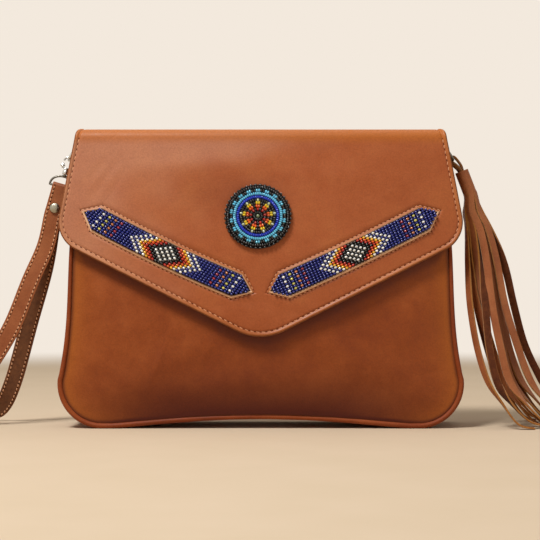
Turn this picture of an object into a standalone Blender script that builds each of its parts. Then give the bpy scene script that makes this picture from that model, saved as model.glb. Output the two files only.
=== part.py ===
# Beaded bag: an envelope pouch with a folded flap, two woven bead strips, a bead rosette, a wrist
# strap on a swivel clasp and a tassel. Metres, +Z up. The origin is on the table under the middle of
# the bag, the front faces -Y, and +X is on the right of someone who looks at the front.

import math

import bmesh
import bpy
from mathutils import Matrix, Vector

# Clearance between pieces that touch
GAP = 0.0003

# Pouch
BASE_WIDTH = 0.2706
TOP_WIDTH = 0.2460
POUCH_HEIGHT = 0.1930
CORNER_RADIUS = 0.0300
BASE_DEPTH = 0.0460
TOP_DEPTH = 0.0220
ARCH_RISE = 0.0060
ARCH_SPAN = 0.2000
ARCH_POWER = 1.3
PANEL_THICKNESS = 0.0014
FRONT_BULGE = 0.0065
BULGE_ROUNDNESS = 2.4
BULGE_LIFT = 0.8
PIPING_RADIUS = 0.0017
PIPING_STOP = 0.0070
GUSSET_DIP = 0.0012
GUSSET_INSET = 0.0006
BOTTOM_STEPS = 9
CORNER_STEPS = 6
SIDE_STEPS = 6
SIDE_WAIST = 0.0023
WAIST_TOP = 0.65

# Flap
FLAP_THICKNESS = 0.0018
FLAP_TOP_WIDTH = TOP_WIDTH + 0.0009
FLAP_FLARE = math.radians(10.65)
FLAP_EDGE_SLOPE = math.radians(26.6)
FLAP_DROP = 0.1427
FLAP_CORNER_RADIUS = 0.0208
FLAP_TIP_RADIUS = 0.0350
FLAP_BACK_RADIUS = 0.0065
FLAP_FOLD_RADIUS = 0.0070
FLAP_CLEARANCE = 0.0006
FLAP_EXTRA_BULGE = 0.0012
FLAP_REACH = 0.1400
LINING_THICKNESS = 0.0008
LINING_MARGIN = 0.0016
LINING_START = 0.0020

# Bead strips and their windows
STRIP_CENTRE_X = 0.0620
STRIP_CENTRE_Z = POUCH_HEIGHT - 0.0755
STRIP_ANGLE = math.radians(25.3)
WINDOW_LENGTH = 0.1230
WINDOW_SHOULDER = 0.0101
WINDOW_WIDTH = 0.0155
BEAD_COLUMN = 0.0023
BEAD_ROWS = 9
BEAD_RIDGE = 0.0005
BEAD_RECESS = 0.0003
BEAD_BODY = 0.0010
DIAMOND_REACH = 5.5

# Rosette
ROSETTE_X = -0.0018
ROSETTE_Z = POUCH_HEIGHT - 0.0519
ROSETTE_BACKING = 0.0007
ROSETTE_BEADS = 0.0013
ROSETTE_RADIUS = 0.0223
TEETH = 18
TOOTH_DEPTH = 0.0022
PALE_RING_RADIUS = 0.0169
PALE_RING_WIDTH = 0.0023
DEEP_RING_WIDTH = 0.0021
PETALS = 9
PETAL_ROOT = 0.0062
FLOWER_HOLE = 0.0021
CENTRE_BEAD_RADIUS = 0.0013

# Magnetic snap
SNAP_HEIGHT = POUCH_HEIGHT - 0.1070
SNAP_RADIUS = 0.0070
SOCKET_HEIGHT = 0.0015
SOCKET_BORE = 0.0025
SOCKET_BORE_DEPTH = 0.0010
STUD_HEIGHT = 0.0008
STUD_RADIUS = 0.0020
STUD_REACH = 0.0008

# Side tabs and rings
TAB_WIDTH = 0.0110
TAB_THICKNESS = 0.0012
TAB_FOOT = POUCH_HEIGHT - 0.0210
RING_HEIGHT = POUCH_HEIGHT - 0.0060
RING_WIRE = 0.0010
RING_HALF_WIDTH = 0.0070
RING_DROP = 0.0090
RING_TILT = math.radians(37)

# Swivel clasp, measured down its own axis from the ring's wire
CLASP_TILT = math.radians(16)
HOOK_WIRE = 0.0007
HOOK_RADIUS = 0.0024
HOOK_SAG = 0.0011
BARREL_TOP = 0.0058
BARREL_LENGTH = 0.0045
BARREL_RADIUS = 0.0022
SWIVEL_POST = 0.0008
SWIVEL_POST_DEPTH = 0.0028
EYE_TOP = 0.0118
EYE_BAR = 0.0190
EYE_HALF_WIDTH = 0.0082
EYE_WIRE = 0.00075

# Wrist strap
STRAP_WIDTH = 0.0120
STRAP_THICKNESS = 0.0013
RIVET_DISTANCE = 0.0150
RIVET_POST = 0.0013
RIVET_HEAD = 0.0035
RIVET_DOME = 0.0016
RIVET_WASHER = 0.0030
RIVET_WASHER_THICKNESS = 0.0006
LOOP_SIZE = 0.1000

# Tassel
LACE_RADIUS = 0.0006
HEAD_OFFSET = 0.0057
HEAD_DROP = 0.0076
HEAD_TILT = math.radians(21)
HEAD_LENGTH = 0.0145
HEAD_RADIUS = 0.0045
HEAD_TURNS = 1.5
HEAD_START = math.radians(20)
STRAND_THICKNESS = 0.0010
STRAND_TAPER = 1.10
STRAND_STEPS = 12
FRINGE_SIZE = 0.1000


# Small helpers


def finish(name, colour, roughness, metallic=0.0):
    """A Principled material from an sRGB hex colour."""
    channels = [int(colour[i : i + 2], 16) / 255 for i in (1, 3, 5)]
    linear = [c / 12.92 if c <= 0.04045 else ((c + 0.055) / 1.055) ** 2.4 for c in channels]
    made = bpy.data.materials.new(name)
    made.use_nodes = True
    shader = made.node_tree.nodes["Principled BSDF"]
    shader.inputs["Base Color"].default_value = (*linear, 1.0)
    shader.inputs["Roughness"].default_value = roughness
    shader.inputs["Metallic"].default_value = metallic
    made.diffuse_color = (*linear, 1.0)
    return made


def place_of(obj):
    """The world position of an empty whose parents aren't turned."""
    place = Vector()
    while obj:
        place += obj.location
        obj = obj.parent
    return place


def pivot(name, point, parent=None):
    """An empty on a joint's axis, at a point in the bag's own frame."""
    empty = bpy.data.objects.new(name, None)
    empty.parent = parent
    empty.location = Vector(point) - place_of(parent)
    bag.objects.link(empty)
    return empty


def add_piece(name, data, material, parent):
    """Links a mesh or curve made in the bag's frame, and puts its origin on its parent's pivot."""
    data.transform(Matrix.Translation(-place_of(parent)))
    data.materials.append(material)
    piece = bpy.data.objects.new(name, data)
    piece.parent = parent
    bag.objects.link(piece)
    if piece.type == "MESH":
        data.shade_smooth()
        data.set_sharp_from_angle(angle=math.radians(40))
    return piece


def thicken(piece, thickness, offset=-1.0):
    """Gives an open surface its thickness, by default away from its outer face."""
    wall = piece.modifiers.new("Thickness", "SOLIDIFY")
    wall.thickness = thickness
    wall.offset = offset


def sheet(name, place, across, along, thickness, material, parent, **options):
    """A grid laid out by place(u, v), both from 0 to 1, then mirrored if asked, and thickened."""
    grid = bmesh.new()
    bmesh.ops.create_grid(grid, x_segments=across, y_segments=along, size=0.5)
    for vertex in grid.verts:
        vertex.co = place(round(vertex.co.x + 0.5, 6), round(vertex.co.y + 0.5, 6))
    if options.get("flipped"):
        bmesh.ops.reverse_faces(grid, faces=grid.faces)
    data = bpy.data.meshes.new(name)
    grid.to_mesh(data)
    grid.free()
    piece = add_piece(name, data, material, parent)
    if options.get("mirrored"):
        mirror = piece.modifiers.new("Mirror", "MIRROR")
        mirror.merge_threshold = 0.0001
    thicken(piece, thickness, options.get("offset", -1.0))
    return piece


def slab(name, place, across, along, shift, material, parent):
    """A grid laid out by place(u, v), made solid by sweeping it along a straight shift."""
    grid = bmesh.new()
    bmesh.ops.create_grid(grid, x_segments=across, y_segments=along, size=0.5)
    for vertex in grid.verts:
        vertex.co = place(round(vertex.co.x + 0.5, 6), round(vertex.co.y + 0.5, 6))
    bmesh.ops.remove_doubles(grid, verts=grid.verts, dist=1e-6)
    grown = bmesh.ops.extrude_face_region(grid, geom=grid.faces[:])
    moved = [item for item in grown["geom"] if isinstance(item, bmesh.types.BMVert)]
    bmesh.ops.translate(grid, verts=moved, vec=shift)
    bmesh.ops.recalc_face_normals(grid, faces=grid.faces)
    data = bpy.data.meshes.new(name)
    grid.to_mesh(data)
    grid.free()
    return add_piece(name, data, material, parent)


def tube(name, points, radius, material, parent, closed=False):
    """A bevelled wire through the given points."""
    data = bpy.data.curves.new(name, "CURVE")
    data.dimensions = "3D"
    data.bevel_depth = radius
    data.bevel_resolution = 2
    data.use_fill_caps = not closed
    spline = data.splines.new("POLY")
    spline.points.add(len(points) - 1)
    for target, point in zip(spline.points, points):
        target.co = (*point, 1.0)
    spline.use_cyclic_u = closed
    return add_piece(name, data, material, parent)


def as_mesh(piece):
    """Turns a curve object into a mesh object with welded caps."""
    bpy.context.view_layer.update()
    graph = bpy.context.evaluated_depsgraph_get()
    data = bpy.data.meshes.new_from_object(piece.evaluated_get(graph))
    work = bmesh.new()
    work.from_mesh(data)
    bmesh.ops.remove_doubles(work, verts=work.verts, dist=1e-6)
    work.to_mesh(data)
    work.free()
    name = piece.name
    parent = piece.parent
    bpy.data.objects.remove(piece)
    made = bpy.data.objects.new(name, data)
    made.parent = parent
    bag.objects.link(made)
    return made


def turned(name, profile, steps, material, parent):
    """A solid of revolution about its own Z, from an (r, z) profile that runs down its outer side."""
    data = bpy.data.meshes.new(name)
    work = bmesh.new()
    ring = [work.verts.new((r, 0.0, z)) for r, z in profile]
    for first, second in zip(ring, ring[1:]):
        work.edges.new((first, second))
    if profile[0][0] > 0 and profile[-1][0] > 0:
        work.edges.new((ring[-1], ring[0]))
    work.to_mesh(data)
    work.free()
    data.materials.append(material)
    piece = bpy.data.objects.new(name, data)
    piece.parent = parent
    bag.objects.link(piece)
    screw = piece.modifiers.new("Turn", "SCREW")
    screw.steps = steps
    screw.render_steps = steps
    screw.use_merge_vertices = True
    screw.merge_threshold = 0.00001
    screw.use_smooth_shade = True
    return piece


def helper(obj):
    """Marks a cutter or a guide, which is no part of the bag."""
    for owner in list(obj.users_collection):
        owner.objects.unlink(obj)
    cutters.objects.link(obj)
    obj.hide_render = True
    obj.display_type = "WIRE"
    return obj


def combine(piece, other, operation):
    """Cuts a helper from a piece, or joins it on."""
    change = piece.modifiers.new(operation.title(), "BOOLEAN")
    change.operation = operation
    change.object = other


def prism(name, outline, near, far):
    """A cutter with an (x, z) outline, extruded along Y."""
    work = bmesh.new()
    face = work.faces.new([work.verts.new((x, near, z)) for x, z in outline])
    grown = bmesh.ops.extrude_face_region(work, geom=[face])
    moved = [item for item in grown["geom"] if isinstance(item, bmesh.types.BMVert)]
    bmesh.ops.translate(work, verts=moved, vec=(0.0, far - near, 0.0))
    bmesh.ops.recalc_face_normals(work, faces=work.faces)
    data = bpy.data.meshes.new(name)
    work.to_mesh(data)
    work.free()
    cutter = bpy.data.objects.new(name, data)
    bag.objects.link(cutter)
    return helper(cutter)


# Lines in a plane


def at(line, share):
    """The point at a share of a line's steps."""
    place = share * (len(line) - 1)
    first = min(int(place), len(line) - 2)
    return line[first].lerp(line[first + 1], place - first)


def resampled(line, count):
    """The line again, with a given number of equal steps."""
    lengths = [(b - a).length for a, b in zip(line, line[1:])]
    step = sum(lengths) / count
    points = [line[0].copy()]
    walked, index = 0.0, 0
    for i in range(1, count):
        while walked + lengths[index] < i * step:
            walked += lengths[index]
            index += 1
        points.append(line[index].lerp(line[index + 1], (i * step - walked) / lengths[index]))
    return points + [line[-1].copy()]


def fillet(before, corner, after, radius, steps):
    """The arc that rounds a corner between two straight lines, as points from one line to the other."""
    incoming = (before - corner).normalized()
    outgoing = (after - corner).normalized()
    half = incoming.angle(outgoing) / 2
    centre = corner + (incoming + outgoing).normalized() * radius / math.sin(half)
    start = corner + incoming * radius / math.tan(half) - centre
    sweep = math.pi - 2 * half
    if start.x * outgoing.y - start.y * outgoing.x < 0:
        sweep = -sweep
    return [centre + Matrix.Rotation(sweep * i / steps, 2) @ start for i in range(steps + 1)]


def curve_through(points, steps):
    """A smooth line through 3-D points, with a number of steps from each to the next."""
    line = []
    for i in range(len(points) - 1):
        p0 = points[max(i - 1, 0)]
        p1, p2 = points[i], points[i + 1]
        p3 = points[min(i + 2, len(points) - 1)]
        for k in range(steps):
            t = k / steps
            line.append(
                0.5
                * (
                    2 * p1
                    + (p2 - p0) * t
                    + (2 * p0 - 5 * p1 + 4 * p2 - p3) * t**2
                    + (3 * p1 - p0 - 3 * p2 + p3) * t**3
                )
            )
    return line + [points[-1]]


# The pouch's shape


def side_lean():
    """The corner's end angle, at which the straight side is tangent to it."""
    reach = Vector((TOP_WIDTH / 2 - BASE_WIDTH / 2 + CORNER_RADIUS, POUCH_HEIGHT - CORNER_RADIUS))
    return math.atan2(reach.y, reach.x) - math.acos(CORNER_RADIUS / reach.length)


def side_waist(z):
    """How far the side seams draw in above the full lower corners."""
    share = (z - CORNER_RADIUS) / (WAIST_TOP * POUCH_HEIGHT - CORNER_RADIUS)
    if share <= 0.0 or share >= 1.0:
        return 0.0
    return SIDE_WAIST * math.sin(math.pi * share**0.7) ** 1.5


def half_seam():
    """The right half of the seam's outer edge as (x, z), from the bottom centre to the top."""
    corner_x = BASE_WIDTH / 2 - CORNER_RADIUS
    turn = side_lean() + math.pi / 2
    line = []
    for i in range(BOTTOM_STEPS):
        x = corner_x * i / BOTTOM_STEPS
        rise = max(0.0, 1 - (2 * x / ARCH_SPAN) ** 2)
        line.append(Vector((x, ARCH_RISE * rise**ARCH_POWER)))
    for i in range(CORNER_STEPS + 1):
        angle = turn * i / CORNER_STEPS - math.pi / 2
        line.append(
            Vector((corner_x + CORNER_RADIUS * math.cos(angle), CORNER_RADIUS * (1 + math.sin(angle))))
        )
    foot, top = line[-1], Vector((TOP_WIDTH / 2, POUCH_HEIGHT))
    for i in range(1, SIDE_STEPS + 1):
        point = foot.lerp(top, i / SIDE_STEPS)
        line.append(Vector((point.x - side_waist(point.y), point.y)))
    return line


def inset_seam(inset):
    """The half seam moved inward, square to itself."""
    line = half_seam()
    before = [Vector((-line[1].x, line[1].y))] + line[:-1]
    after = line[1:] + [2 * line[-1] - line[-2]]
    moved = []
    for a, point, b in zip(before, line, after):
        along = (b - a).normalized()
        moved.append(point - inset * Vector((along.y, -along.x)))
    return moved


def whole_seam(inset):
    """The seam from the top left, round the bottom, to the top right."""
    right = inset_seam(inset)
    return [Vector((-p.x, p.y)) for p in reversed(right[1:])] + right


def half_depth(z):
    return (BASE_DEPTH + (TOP_DEPTH - BASE_DEPTH) * z / POUCH_HEIGHT) / 2


def seam_x(z):
    """Half the pouch's width at a height, over the piping."""
    if z >= CORNER_RADIUS:
        lean = side_lean()
        foot_x = BASE_WIDTH / 2 - CORNER_RADIUS * (1 - math.cos(lean))
        foot_z = CORNER_RADIUS * (1 + math.sin(lean))
        share = (z - foot_z) / (POUCH_HEIGHT - foot_z)
        return foot_x + (TOP_WIDTH / 2 - foot_x) * share - side_waist(z)
    drop = CORNER_RADIUS - max(0.0, z)
    return BASE_WIDTH / 2 - CORNER_RADIUS + math.sqrt(CORNER_RADIUS**2 - drop**2)


def bulge(across, up):
    """How far a filled pouch stands forward, from 0 at its seams to 1, at shares of its width and height."""
    across = min(1.0, abs(across))
    up = min(1.0, max(0.0, up))
    return (1 - across**BULGE_ROUNDNESS) * math.sin(math.pi * up**BULGE_LIFT)


def blended(bottom, top, centre, side, u, v):
    """A point between four border lines: u from the centre line to the side, v from bottom to top."""
    edges = (1 - v) * at(bottom, u) + v * at(top, u) + (1 - u) * at(centre, v) + u * at(side, v)
    low = (1 - u) * bottom[0] + u * bottom[-1]
    high = (1 - u) * top[0] + u * top[-1]
    return edges - (1 - v) * low - v * high


def panel(name, face, parent, flipped):
    """A pouch wall inside its piping. face(x, z) gives its outer face."""
    line = inset_seam(2 * PIPING_RADIUS + GAP)
    turn = BOTTOM_STEPS + CORNER_STEPS // 2
    across, up = turn, len(line) - 1 - turn
    top_z = line[-1].y
    bottom, side = line[: turn + 1], line[turn:]
    top = resampled([Vector((0.0, top_z)), line[-1]], across)
    centre = resampled([line[0], Vector((0.0, top_z))], up)

    def place(u, v):
        point = blended(bottom, top, centre, side, u, v)
        return face(point.x, point.y)

    return sheet(
        name, place, across, up, PANEL_THICKNESS, leather, parent, mirrored=True, flipped=flipped
    )


def front_face(x, z):
    swell = FRONT_BULGE * bulge(x / (seam_x(z) - 2 * PIPING_RADIUS - GAP), z / POUCH_HEIGHT)
    return Vector((x, -half_depth(z) - swell, z))


def back_face(x, z):
    return Vector((x, half_depth(z), z))


def gusset_x(z, y):
    """The gusset's outer face at a place on a side."""
    reach = half_depth(z) - PIPING_RADIUS - GAP
    return seam_x(z) - GUSSET_INSET - GUSSET_DIP * (1 - (y / reach) ** 2)


def make_pouch():
    panel("front_panel", front_face, bag_root, False)
    panel("back_panel", back_face, bag_root, True)

    outer = whole_seam(GUSSET_INSET)
    inner = whole_seam(GUSSET_INSET + GUSSET_DIP)

    def gusset_place(u, v):
        swing = 2 * v - 1
        edge, middle = at(outer, u), at(inner, u)
        point = middle.lerp(edge, swing**2)
        reach = half_depth(edge.y) - PIPING_RADIUS - GAP
        return Vector((point.x, reach * swing, point.y))

    sheet(
        "gusset", gusset_place, len(outer) - 1, 4, PANEL_THICKNESS, leather, bag_root, flipped=True
    )

    line = whole_seam(PIPING_RADIUS)
    ends = POUCH_HEIGHT - PIPING_STOP
    line[0] = line[1].lerp(line[0], (ends - line[1].y) / (line[0].y - line[1].y))
    line[-1] = Vector((-line[0].x, line[0].y))
    for name, side in (("front_piping", -1), ("back_piping", 1)):
        points = [Vector((p.x, side * half_depth(p.y), p.y)) for p in line]
        tube(name, points, PIPING_RADIUS, piping_leather, bag_root)


# The flap's shape


def flap_stand():
    """From the pouch's front plane to the flap's outer face: past the piping, the lining and the flap."""
    return PIPING_RADIUS + FLAP_CLEARANCE + LINING_THICKNESS + GAP + FLAP_THICKNESS


def pouch_lean():
    return math.atan((BASE_DEPTH - TOP_DEPTH) / 2 / POUCH_HEIGHT)


def flap_top():
    return POUCH_HEIGHT + GAP + FLAP_BACK_RADIUS


def fold_end():
    """Where the front fold ends, as (y, z), and the flap runs straight down."""
    z = flap_top() - FLAP_FOLD_RADIUS * (1 - math.sin(pouch_lean()))
    return Vector((-half_depth(z) - flap_stand(), z))


def flap_lengths():
    """Lengths from the flap's back edge to the ends of its back bend, its top and its front fold."""
    back = FLAP_BACK_RADIUS * math.pi / 2
    fold_centre_y = fold_end().x + FLAP_FOLD_RADIUS * math.cos(pouch_lean())
    top = back + TOP_DEPTH / 2 - FLAP_BACK_RADIUS - fold_centre_y
    return back, top, top + FLAP_FOLD_RADIUS * (math.pi / 2 - pouch_lean())


def flap_profile(s):
    """The flap's outer face at a length s from its back edge: the point (y, z) and the normal."""
    back, top, front = flap_lengths()
    lean = pouch_lean()
    if s < back:
        normal = Vector((math.cos(s / FLAP_BACK_RADIUS), math.sin(s / FLAP_BACK_RADIUS)))
        centre = Vector((TOP_DEPTH / 2 - FLAP_BACK_RADIUS, POUCH_HEIGHT + GAP))
        return centre + FLAP_BACK_RADIUS * normal, normal
    if s < top:
        y = TOP_DEPTH / 2 - FLAP_BACK_RADIUS - (s - back)
        return Vector((y, flap_top())), Vector((0.0, 1.0))
    if s < front:
        angle = (s - top) / FLAP_FOLD_RADIUS
        normal = Vector((-math.sin(angle), math.cos(angle)))
        centre = fold_end() - FLAP_FOLD_RADIUS * Vector((-math.cos(lean), math.sin(lean)))
        return centre + FLAP_FOLD_RADIUS * normal, normal
    along = Vector((-math.sin(lean), -math.cos(lean)))
    return fold_end() + (s - front) * along, Vector((-math.cos(lean), math.sin(lean)))


def flap_length_at(z):
    """The length s at which the flap's front is at a height."""
    return flap_lengths()[2] + (fold_end().y - z) / math.cos(pouch_lean())


def flap_point(x, s, depth=0.0):
    """A point on the flap, at a depth under its outer face."""
    point, normal = flap_profile(s)
    swell = 0.0
    if s > flap_lengths()[2]:
        swell = (FRONT_BULGE + FLAP_EXTRA_BULGE) * bulge(x / FLAP_REACH, point.y / fold_end().y)
    inner = point - depth * normal
    return Vector((x, inner.x - swell, inner.y))


def flap_borders(margin, across, rows):
    """The half flap's front as four border lines in (x, z), a margin inside its cut edge."""
    top_z = fold_end().y
    tip = Vector((0.0, flap_top() - FLAP_DROP + margin / math.cos(FLAP_EDGE_SLOPE)))
    side_x = FLAP_TOP_WIDTH / 2 - margin / math.cos(FLAP_FLARE)
    slope, flare = math.tan(FLAP_EDGE_SLOPE), math.tan(FLAP_FLARE)
    corner_x = (side_x + (flap_top() - tip.y) * flare) / (1 + slope * flare)
    corner = Vector((corner_x, tip.y + corner_x * slope))
    shoulder = Vector((side_x + (flap_top() - top_z) * flare, top_z))
    mirrored = Vector((-corner.x, corner.y))
    tip_arc = fillet(mirrored, tip, corner, FLAP_TIP_RADIUS - margin, 12)[6:]
    corner_arc = fillet(tip, corner, shoulder, FLAP_CORNER_RADIUS - margin, 12)
    bottom = resampled(tip_arc + corner_arc[:7], across)
    side = resampled(corner_arc[6:] + [shoulder], rows)
    centre = resampled([bottom[0], Vector((0.0, top_z))], rows)
    top = resampled([centre[-1], shoulder], across)
    return bottom, top, centre, side


def make_flap():
    across, rows = 10, 11
    back, top, front = flap_lengths()
    stations = [front, (2 * front + top) / 3, (front + 2 * top) / 3, top, back, back * 2 / 3, back / 3, 0.0]
    borders = flap_borders(0.0, across, rows)
    shoulder = borders[3][-1].x
    share = rows / (rows + len(stations) - 1)

    def place(u, v):
        if v <= share:
            point = blended(*borders, u, v / share)
            return flap_point(point.x, flap_length_at(point.y))
        index = round((v - share) * (rows + len(stations) - 1))
        s = stations[index]
        ease = max(0.0, (s - top) / (front - top))
        return flap_point(u * (FLAP_TOP_WIDTH / 2 + (shoulder - FLAP_TOP_WIDTH / 2) * ease), s)

    flap = sheet(
        "flap", place, across, rows + len(stations) - 1, FLAP_THICKNESS, leather, flap_hinge, mirrored=True
    )
    for name, side in (("left_window_cutter", -1), ("right_window_cutter", 1)):
        outline = [strip_place(side, a, b) for a, b in window_corners()]
        combine(flap, prism(name, [(p.x, p.y) for p in outline], -BASE_DEPTH, 0.0), "DIFFERENCE")

    lining_borders = flap_borders(LINING_MARGIN, 8, 7)
    depth = FLAP_THICKNESS + GAP
    highest = fold_end().y
    lowest = lining_borders[2][0].y

    def lining_place(u, v):
        point = blended(*lining_borders, u, v)
        squeeze = (highest - LINING_START - lowest) / (highest - lowest)
        z = lowest + (point.y - lowest) * squeeze
        return flap_point(point.x, flap_length_at(z), depth)

    sheet("flap_lining", lining_place, 8, 7, LINING_THICKNESS, lining_cloth, flap_hinge, mirrored=True)


# Bead strips


def strip_place(side, a, b):
    """A place in a strip as (x, z): a is along it, outward, and b is across it, upward."""
    x = STRIP_CENTRE_X + a * math.cos(STRIP_ANGLE) - b * math.sin(STRIP_ANGLE)
    z = STRIP_CENTRE_Z + a * math.sin(STRIP_ANGLE) + b * math.cos(STRIP_ANGLE)
    return Vector((side * x, z))


def window_corners():
    half, shoulder, width = WINDOW_LENGTH / 2, WINDOW_LENGTH / 2 - WINDOW_SHOULDER, WINDOW_WIDTH / 2
    return [(half, 0), (shoulder, width), (-shoulder, width), (-half, 0), (-shoulder, -width), (shoulder, -width)]


def bead_field(name, side, inner, outer, steps, material):
    """A field of woven beads between two lines across the strip, ridged once for each row of beads."""
    reach = WINDOW_WIDTH / 2 - GAP

    def place(u, v):
        b = reach * (2 * v - 1)
        a = inner(b) + (outer(b) - inner(b)) * u
        row = BEAD_ROWS * v % 1
        groove = BEAD_RIDGE * abs(2 * row - 1)
        point = strip_place(side, a, b)
        return flap_point(point.x, flap_length_at(point.y)) + Vector((0.0, BEAD_RECESS + groove, 0.0))

    return slab(name, place, steps, 2 * BEAD_ROWS, (0.0, BEAD_BODY, 0.0), material, flap_hinge)


def make_strips():
    reach = WINDOW_WIDTH / 2 - GAP
    row = 2 * reach / BEAD_ROWS
    chevrons = (("red", bead_red), ("orange", bead_orange), ("yellow", bead_yellow), ("white", bead_white))

    def stepped(columns, gap):
        return lambda b: BEAD_COLUMN * (columns - abs(b) / row) + gap

    def window_end(b):
        return WINDOW_LENGTH / 2 - GAP - WINDOW_SHOULDER * abs(b) / (WINDOW_WIDTH / 2)

    def opposite(line):
        return lambda b: -line(b)

    for hand, side in (("left", -1), ("right", 1)):
        edge = stepped(DIAMOND_REACH, -GAP / 2)
        bead_field(f"{hand}_strip_diamond", side, opposite(edge), edge, 2, bead_black)
        for way in ("inner", "outer"):
            for count, (colour, material) in enumerate(chevrons):
                near = stepped(DIAMOND_REACH + count, GAP / 2)
                far = stepped(DIAMOND_REACH + count + 1, -GAP / 2)
                if way == "inner":
                    near, far = opposite(far), opposite(near)
                bead_field(f"{hand}_strip_{way}_{colour}", side, near, far, 1, material)
            near, far = stepped(DIAMOND_REACH + len(chevrons), GAP / 2), window_end
            if way == "inner":
                near, far = opposite(far), opposite(near)
            bead_field(f"{hand}_strip_{way}_blue", side, near, far, 3, bead_blue)


# Rosette


def toothed(low, high):
    """A radius that steps between two values, once for each tooth, as a function of the turn from 0 to 1."""

    def radius(turn):
        return high if round(turn * TEETH * 4 + 0.5) // 2 % 2 == 0 else low

    return radius


def petalled(low, high):
    """A radius with one round lobe for each petal."""
    return lambda turn: low + (high - low) * (0.5 + 0.5 * math.cos(2 * math.pi * PETALS * turn)) ** 0.6


def bead_ring(name, inner, outer, low, high, steps, lines, material, parent):
    """A ring of beads between two radii, rounded if it has two lines of faces."""

    rounding = ROSETTE_BEADS / 4 if lines > 1 else 0.0

    def place(u, v):
        radius = inner(u) + (outer(u) - inner(u)) * v
        angle = 2 * math.pi * u
        height = high - rounding * abs(2 * v - 1)
        return Vector((radius * math.sin(angle), radius * math.cos(angle), height))

    piece = slab(name, place, steps, lines, (0.0, 0.0, low + rounding - high), material, None)
    piece.parent = parent


def make_rosette():
    s = flap_length_at(ROSETTE_Z)
    span = 0.010
    above = flap_point(ROSETTE_X, s - span)
    below = flap_point(ROSETTE_X, s + span)
    lean = math.atan2(below.y - above.y, below.z - above.z)
    mount = pivot("rosette_mount", flap_point(ROSETTE_X, s), flap_hinge)
    mount.rotation_euler = (math.pi / 2 - abs(math.pi - abs(lean)), 0.0, 0.0)

    def flat(radius):
        return lambda turn: radius

    base = GAP + ROSETTE_BACKING
    low, high = base + GAP, base + GAP + ROSETTE_BEADS
    rim_inner = PALE_RING_RADIUS + GAP
    turned(
        "rosette_backing",
        [(0, base), (ROSETTE_RADIUS - GAP, base), (ROSETTE_RADIUS - GAP, GAP), (0, GAP)],
        36, backing_felt, mount,
    )
    bead_ring(
        "rosette_black_rim",
        toothed(rim_inner, rim_inner + TOOTH_DEPTH), flat(ROSETTE_RADIUS),
        low, high, TEETH * 4, 1, bead_black, mount,
    )
    bead_ring(
        "rosette_pale_ring",
        flat(PALE_RING_RADIUS - PALE_RING_WIDTH),
        toothed(PALE_RING_RADIUS - GAP / 2, PALE_RING_RADIUS + TOOTH_DEPTH - GAP / 2),
        low, high, TEETH * 4, 1, bead_pale_blue, mount,
    )
    deep_outer = PALE_RING_RADIUS - PALE_RING_WIDTH - GAP
    deep_inner = deep_outer - DEEP_RING_WIDTH
    bead_ring(
        "rosette_deep_ring", flat(deep_inner), flat(deep_outer), low, high, 36, 2, bead_deep_blue, mount
    )
    ground = (low + high) / 2
    turned(
        "rosette_ground",
        [(0, ground), (deep_inner - GAP, ground), (deep_inner - GAP, low), (0, low)],
        36, bead_black, mount,
    )
    bead_ring(
        "rosette_flower", flat(FLOWER_HOLE), petalled(PETAL_ROOT, deep_inner - GAP),
        ground + GAP, ground + GAP + ROSETTE_BEADS / 2, PETALS * 6, 1, bead_yellow, mount,
    )
    dome = [
        (CENTRE_BEAD_RADIUS * math.sin(math.pi * i / 8), CENTRE_BEAD_RADIUS * (1 + math.cos(math.pi * i / 8)))
        for i in range(9)
    ]
    turned(
        "rosette_centre_bead", [(max(r, 0.0), ground + GAP + z) for r, z in dome], 12, bead_pale_green, mount
    )


# Magnetic snap


def make_snap():
    s = flap_length_at(SNAP_HEIGHT)
    depth = FLAP_THICKNESS + GAP + LINING_THICKNESS
    lean = pouch_lean()
    face = front_face(0.0, SNAP_HEIGHT)
    seat = pivot("socket_mount", face, bag_root)
    seat.rotation_euler = (math.pi / 2 - lean, 0.0, 0.0)
    rim = SOCKET_HEIGHT / 4
    turned(
        "magnet_socket",
        [
            (0.0, GAP + SOCKET_HEIGHT - SOCKET_BORE_DEPTH),
            (SOCKET_BORE, GAP + SOCKET_HEIGHT - SOCKET_BORE_DEPTH),
            (SOCKET_BORE, GAP + SOCKET_HEIGHT),
            (SNAP_RADIUS - rim, GAP + SOCKET_HEIGHT),
            (SNAP_RADIUS, GAP + SOCKET_HEIGHT - rim),
            (SNAP_RADIUS, GAP),
            (0.0, GAP),
        ],
        24, snap_metal, seat,
    )
    hung = pivot("stud_mount", flap_point(0.0, s, depth), flap_hinge)
    hung.rotation_euler = (-math.pi / 2 - lean, 0.0, 0.0)
    rim = STUD_HEIGHT / 4
    turned(
        "magnet_stud",
        [
            (0.0, GAP + STUD_HEIGHT + STUD_REACH),
            (STUD_RADIUS, GAP + STUD_HEIGHT + STUD_REACH),
            (STUD_RADIUS, GAP + STUD_HEIGHT),
            (SNAP_RADIUS - rim, GAP + STUD_HEIGHT),
            (SNAP_RADIUS, GAP + STUD_HEIGHT - rim),
            (SNAP_RADIUS, GAP),
            (0.0, GAP),
        ],
        24, snap_metal, hung,
    )


# Side tabs and rings


def ring_bar():
    """The right ring's straight bar, inside the fold of its tab."""
    x = gusset_x(RING_HEIGHT, TAB_WIDTH / 2) + GAP + TAB_THICKNESS + GAP + RING_WIRE
    return Vector((x, 0.0, RING_HEIGHT))


def ring_end():
    """The middle of the right ring's curved side, where the clasp or the lace hangs."""
    return ring_bar() + RING_DROP * Vector((math.sin(RING_TILT), 0.0, -math.cos(RING_TILT)))


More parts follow.
